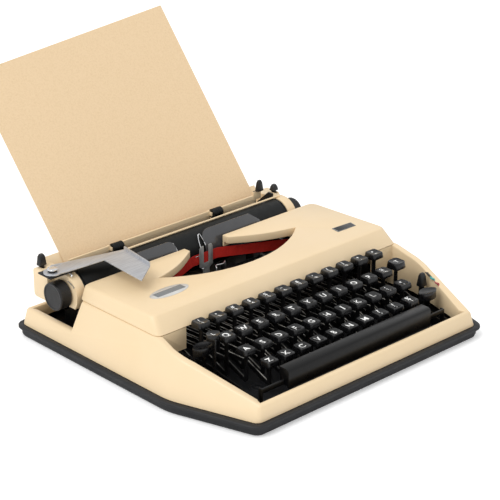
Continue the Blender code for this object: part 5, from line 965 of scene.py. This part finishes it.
def fanTree():
    # a piece repeated along an arc that opens towards the typist, each with a small random rise
    tree, given, result = openTree("fanRow", (
        ("Count", 'Int', 43), ("Radius", 'Float', 0.06), ("Half Angle", 'Float', 1.4),
        ("Centre", 'Vector', (0.0, 0.0, 0.0)), ("Uneven Rise", 'Float', 0.0002), ("Left Out", 'Int', -1),
        ("Seed", 'Int', 4)))
    index = tree.nodes.new("GeometryNodeInputIndex").outputs[0]
    share = shareAlong(tree, index, given)
    centred = valueOf(tree, 'SUBTRACT', valueOf(tree, 'MULTIPLY', share, 2.0), 1.0)
    angle = valueOf(tree, 'MULTIPLY', centred, given.outputs["Half Angle"])
    chance = tree.nodes.new("FunctionNodeRandomValue")
    chance.data_type = 'FLOAT'
    link(tree, given.outputs["Seed"], chance.inputs["Seed"])
    spot = tree.nodes.new("ShaderNodeCombineXYZ")
    across = valueOf(tree, 'MULTIPLY', valueOf(tree, 'SINE', angle), given.outputs["Radius"])
    forward = valueOf(tree, 'MULTIPLY', valueOf(tree, 'COSINE', angle), given.outputs["Radius"])
    link(tree, across, spot.inputs["X"])
    link(tree, valueOf(tree, 'MULTIPLY', forward, -1.0), spot.inputs["Y"])
    # outputs[1] is the random float
    link(tree, valueOf(tree, 'MULTIPLY', chance.outputs[1], given.outputs["Uneven Rise"]), spot.inputs["Z"])
    place = vectorOf(tree, 'ADD', spot.outputs["Vector"], given.outputs["Centre"])
    turn = tree.nodes.new("ShaderNodeCombineXYZ")
    link(tree, angle, turn.inputs["Z"])
    away = valueOf(tree, 'ABSOLUTE', valueOf(tree, 'SUBTRACT', index, given.outputs["Left Out"]))
    chosen = valueOf(tree, 'GREATER_THAN', away, 0.5)  # every copy but the one left out
    closeTree(tree, given, result, place, turn.outputs["Vector"], chosen)
    return tree


def scaleTree():
    # marks in a row from a start over a slightly bulged surface, every few one longer
    tree, given, result = openTree("scaleRow", (
        ("Count", 'Int', 9), ("Start", 'Vector', (0.0, 0.0, 0.0)), ("Step", 'Vector', (0.001, 0.0, 0.0)),
        ("Bulge", 'Vector', (0.0, 0.0, 0.0)), ("Long Every", 'Int', 4), ("Long Size", 'Float', 1.6)))
    index = tree.nodes.new("GeometryNodeInputIndex").outputs[0]
    lift = valueOf(tree, 'SINE', valueOf(tree, 'MULTIPLY', shareAlong(tree, index, given), math.pi))
    stepped = vectorOf(tree, 'SCALE', given.outputs["Step"], scale=index)
    row = vectorOf(tree, 'ADD', given.outputs["Start"], stepped)
    place = vectorOf(tree, 'ADD', row, vectorOf(tree, 'SCALE', given.outputs["Bulge"], scale=lift))
    turn = tree.nodes.new("ShaderNodeCombineXYZ")
    isLong = valueOf(tree, 'LESS_THAN', valueOf(tree, 'MODULO', index, given.outputs["Long Every"]), 0.5)
    extra = valueOf(tree, 'MULTIPLY', isLong, valueOf(tree, 'SUBTRACT', given.outputs["Long Size"], 1.0))
    size = tree.nodes.new("ShaderNodeCombineXYZ")
    link(tree, valueOf(tree, 'ADD', extra, 1.0), size.inputs["X"])
    size.inputs["Y"].default_value = 1.0
    size.inputs["Z"].default_value = 1.0
    closeTree(tree, given, result, place, turn.outputs["Vector"], size=size.outputs["Vector"])
    return tree


def prism(name, outline, place, low, high, along):
    # an outline drawn out along X from low to high, or along Z
    vertices = []
    for depth in (low, high):
        for a, b in outline:
            point = (depth, a, b) if along == 'X' else (a, b, depth)
            vertices.append(Vector(place) + Vector(point))
    count = len(outline)
    faces = [tuple(range(count)), tuple(range(count, 2 * count))] + ringFaces(2, count)
    return meshFrom(name, vertices, faces, meshCare["fineAngle"])


# a double type slug: a block with two worn ridges, drawn from the side as (towards the back, up)
slugShape = {"halfWidth": 0.0007, "centre": (0.0, 0.0690, 0.0372), "radius": 0.0602,
             "halfAngle": math.radians(80.0), "count": 43, "liveHalfWidth": 0.00048, "liveShare": 0.7,
             "profile": ((-0.0011, 0.0), (0.0011, 0.0), (0.0010, 0.0026), (0.0005, 0.0034),
                         (0.0001, 0.0030), (-0.0003, 0.0034), (-0.0010, 0.0028))}


def buildSlugs(shape):
    # one slug on each resting bar, and a smaller one on the bar that swings
    half, origin = shape["halfWidth"], (0.0, 0.0, 0.0)
    slug = prism("slug", shape["profile"], origin, -half, half, 'X')
    slugs = plainMesh("type_slugs", slug, tree=fanTree(), values={
        "Count": shape["count"], "Radius": shape["radius"], "Half Angle": shape["halfAngle"],
        "Centre": shape["centre"], "Left Out": shape["count"] // 2, "Material": materials["slugSteel"]})
    addPiece("type_slugs", smoothed(slugs, meshCare["fineAngle"]), "casing")
    x, y, z = shape["centre"]
    half, share = shape["liveHalfWidth"], shape["liveShare"]
    profile = [(back * share, up * share) for back, up in shape["profile"]]
    live = prism("type_bar_slug", profile, (x, y - shape["radius"], z), -half, half, 'X')
    addPiece("type_bar_slug", live, "striker", "slugSteel")


tickShape = {"half": (0.0011, 0.00016, 0.0003), "endShare": 0.9, "count": 9,
             "start": (-0.1430, 0.0874, 0.0643), "end": (-0.1430, 0.0795, 0.0609),
             "bulge": (0.0, -0.00022, 0.00052)}


def buildScale(shape):
    # thin bars with chamfered ends, in a row over the left housing
    hx, hy, hz = shape["half"]
    inner = hx * shape["endShare"]
    outline = [(-hx, 0.0), (-inner, -hy), (inner, -hy), (hx, 0.0), (inner, hy), (-inner, hy)]
    tick = prism("tick", outline, (0.0, 0.0, 0.0), -hz, hz, 'Z')
    step = (Vector(shape["end"]) - Vector(shape["start"])) / (shape["count"] - 1)
    ticks = plainMesh("housing_scale", tick, tree=scaleTree(), values={
        "Count": shape["count"], "Start": shape["start"], "Step": tuple(step), "Bulge": shape["bulge"],
        "Material": materials["badgeGrey"]})
    addPiece("housing_scale", smoothed(ticks, meshCare["fineAngle"]), "carriage")


buildSlugs(slugShape)
buildScale(tickShape)
print("rows grown")

# Stage, light and camera

stageShape = {"floorHalf": 6.0, "floorTone": 0.92, "floorRoughness": 0.9, "floorGlow": 0.30,
              "worldStrength": 0.86}
lightShape = {"size": 2.4, "power": 58.0, "place": (-2.3, -0.2, 3.2), "target": (0.0, 0.0, 0.05)}
cameraShape = {"place": (-1.0061, -1.0610, 0.7125), "target": (-0.00244, 0.00839, 0.07708),
               "lens": 130.75, "sensor": 36.0, "clip": (0.05, 40.0)}
white = (1.0, 1.0, 1.0, 1.0)


def buildFloor(shape):
    # pale floor that glows a little for the camera, so that only the shadow stays on it
    half = shape["floorHalf"]
    mesh = bpy.data.meshes.new("floor")
    corners = [(*corner, 0.0) for corner in oblong(0.0, 0.0, half, half)]
    mesh.from_pydata(corners, [], [(0, 1, 2, 3)])
    floor = bpy.data.objects.new("floor", mesh)
    scene.collection.objects.link(floor)
    material = bpy.data.materials.new("paleFloor")
    material.use_nodes = True
    tree = material.node_tree
    shader = tree.nodes["Principled BSDF"]
    shader.inputs["Base Color"].default_value = (*[shape["floorTone"]] * 3, 1.0)
    shader.inputs["Roughness"].default_value = shape["floorRoughness"]
    glow = tree.nodes.new("ShaderNodeEmission")
    seen = tree.nodes.new("ShaderNodeLightPath").outputs["Is Camera Ray"]
    link(tree, valueOf(tree, 'MULTIPLY', seen, shape["floorGlow"]), glow.inputs["Strength"])
    total = tree.nodes.new("ShaderNodeAddShader")
    link(tree, shader.outputs["BSDF"], total.inputs[0])
    link(tree, glow.outputs["Emission"], total.inputs[1])
    link(tree, total.outputs["Shader"], tree.nodes["Material Output"].inputs["Surface"])
    mesh.materials.append(material)


def buildWorld(shape):
    # soft white light from all around, and plain white behind the object
    world = bpy.data.worlds.new("softStudio")
    world.use_nodes = True
    scene.world = world
    tree = world.node_tree
    background = tree.nodes["Background"]
    background.inputs["Color"].default_value = white
    background.inputs["Strength"].default_value = shape["worldStrength"]
    backdrop = tree.nodes.new("ShaderNodeBackground")
    backdrop.inputs["Color"].default_value = white
    backdrop.inputs["Strength"].default_value = 1.0
    path = tree.nodes.new("ShaderNodeLightPath")
    choose = tree.nodes.new("ShaderNodeMixShader")
    link(tree, path.outputs["Is Camera Ray"], choose.inputs["Fac"])
    link(tree, background.outputs["Background"], choose.inputs[1])
    link(tree, backdrop.outputs["Background"], choose.inputs[2])
    link(tree, choose.outputs["Shader"], tree.nodes["World Output"].inputs["Surface"])


def facing(place, target):
    return (Vector(target) - Vector(place)).to_track_quat('-Z', 'Y').to_euler()


def addLight(name, shape):
    light = bpy.data.lights.new(name, 'AREA')
    light.shape = 'DISK'
    light.size = shape["size"]
    light.energy = shape["power"]
    lamp = bpy.data.objects.new(name, light)
    scene.collection.objects.link(lamp)
    lamp.location = shape["place"]
    lamp.rotation_euler = facing(shape["place"], shape["target"])


def addCamera(shape):
    camera = bpy.data.objects.new("camera", bpy.data.cameras.new("camera"))
    scene.collection.objects.link(camera)
    camera.location = shape["place"]
    camera.rotation_euler = facing(shape["place"], shape["target"])
    camera.data.lens = shape["lens"]
    camera.data.sensor_width = shape["sensor"]
    camera.data.clip_start, camera.data.clip_end = shape["clip"]
    scene.camera = camera


buildFloor(stageShape)
buildWorld(stageShape)
addLight("keyLight", lightShape)
addCamera(cameraShape)
scene.view_settings.view_transform = 'Standard'
print("stage set")
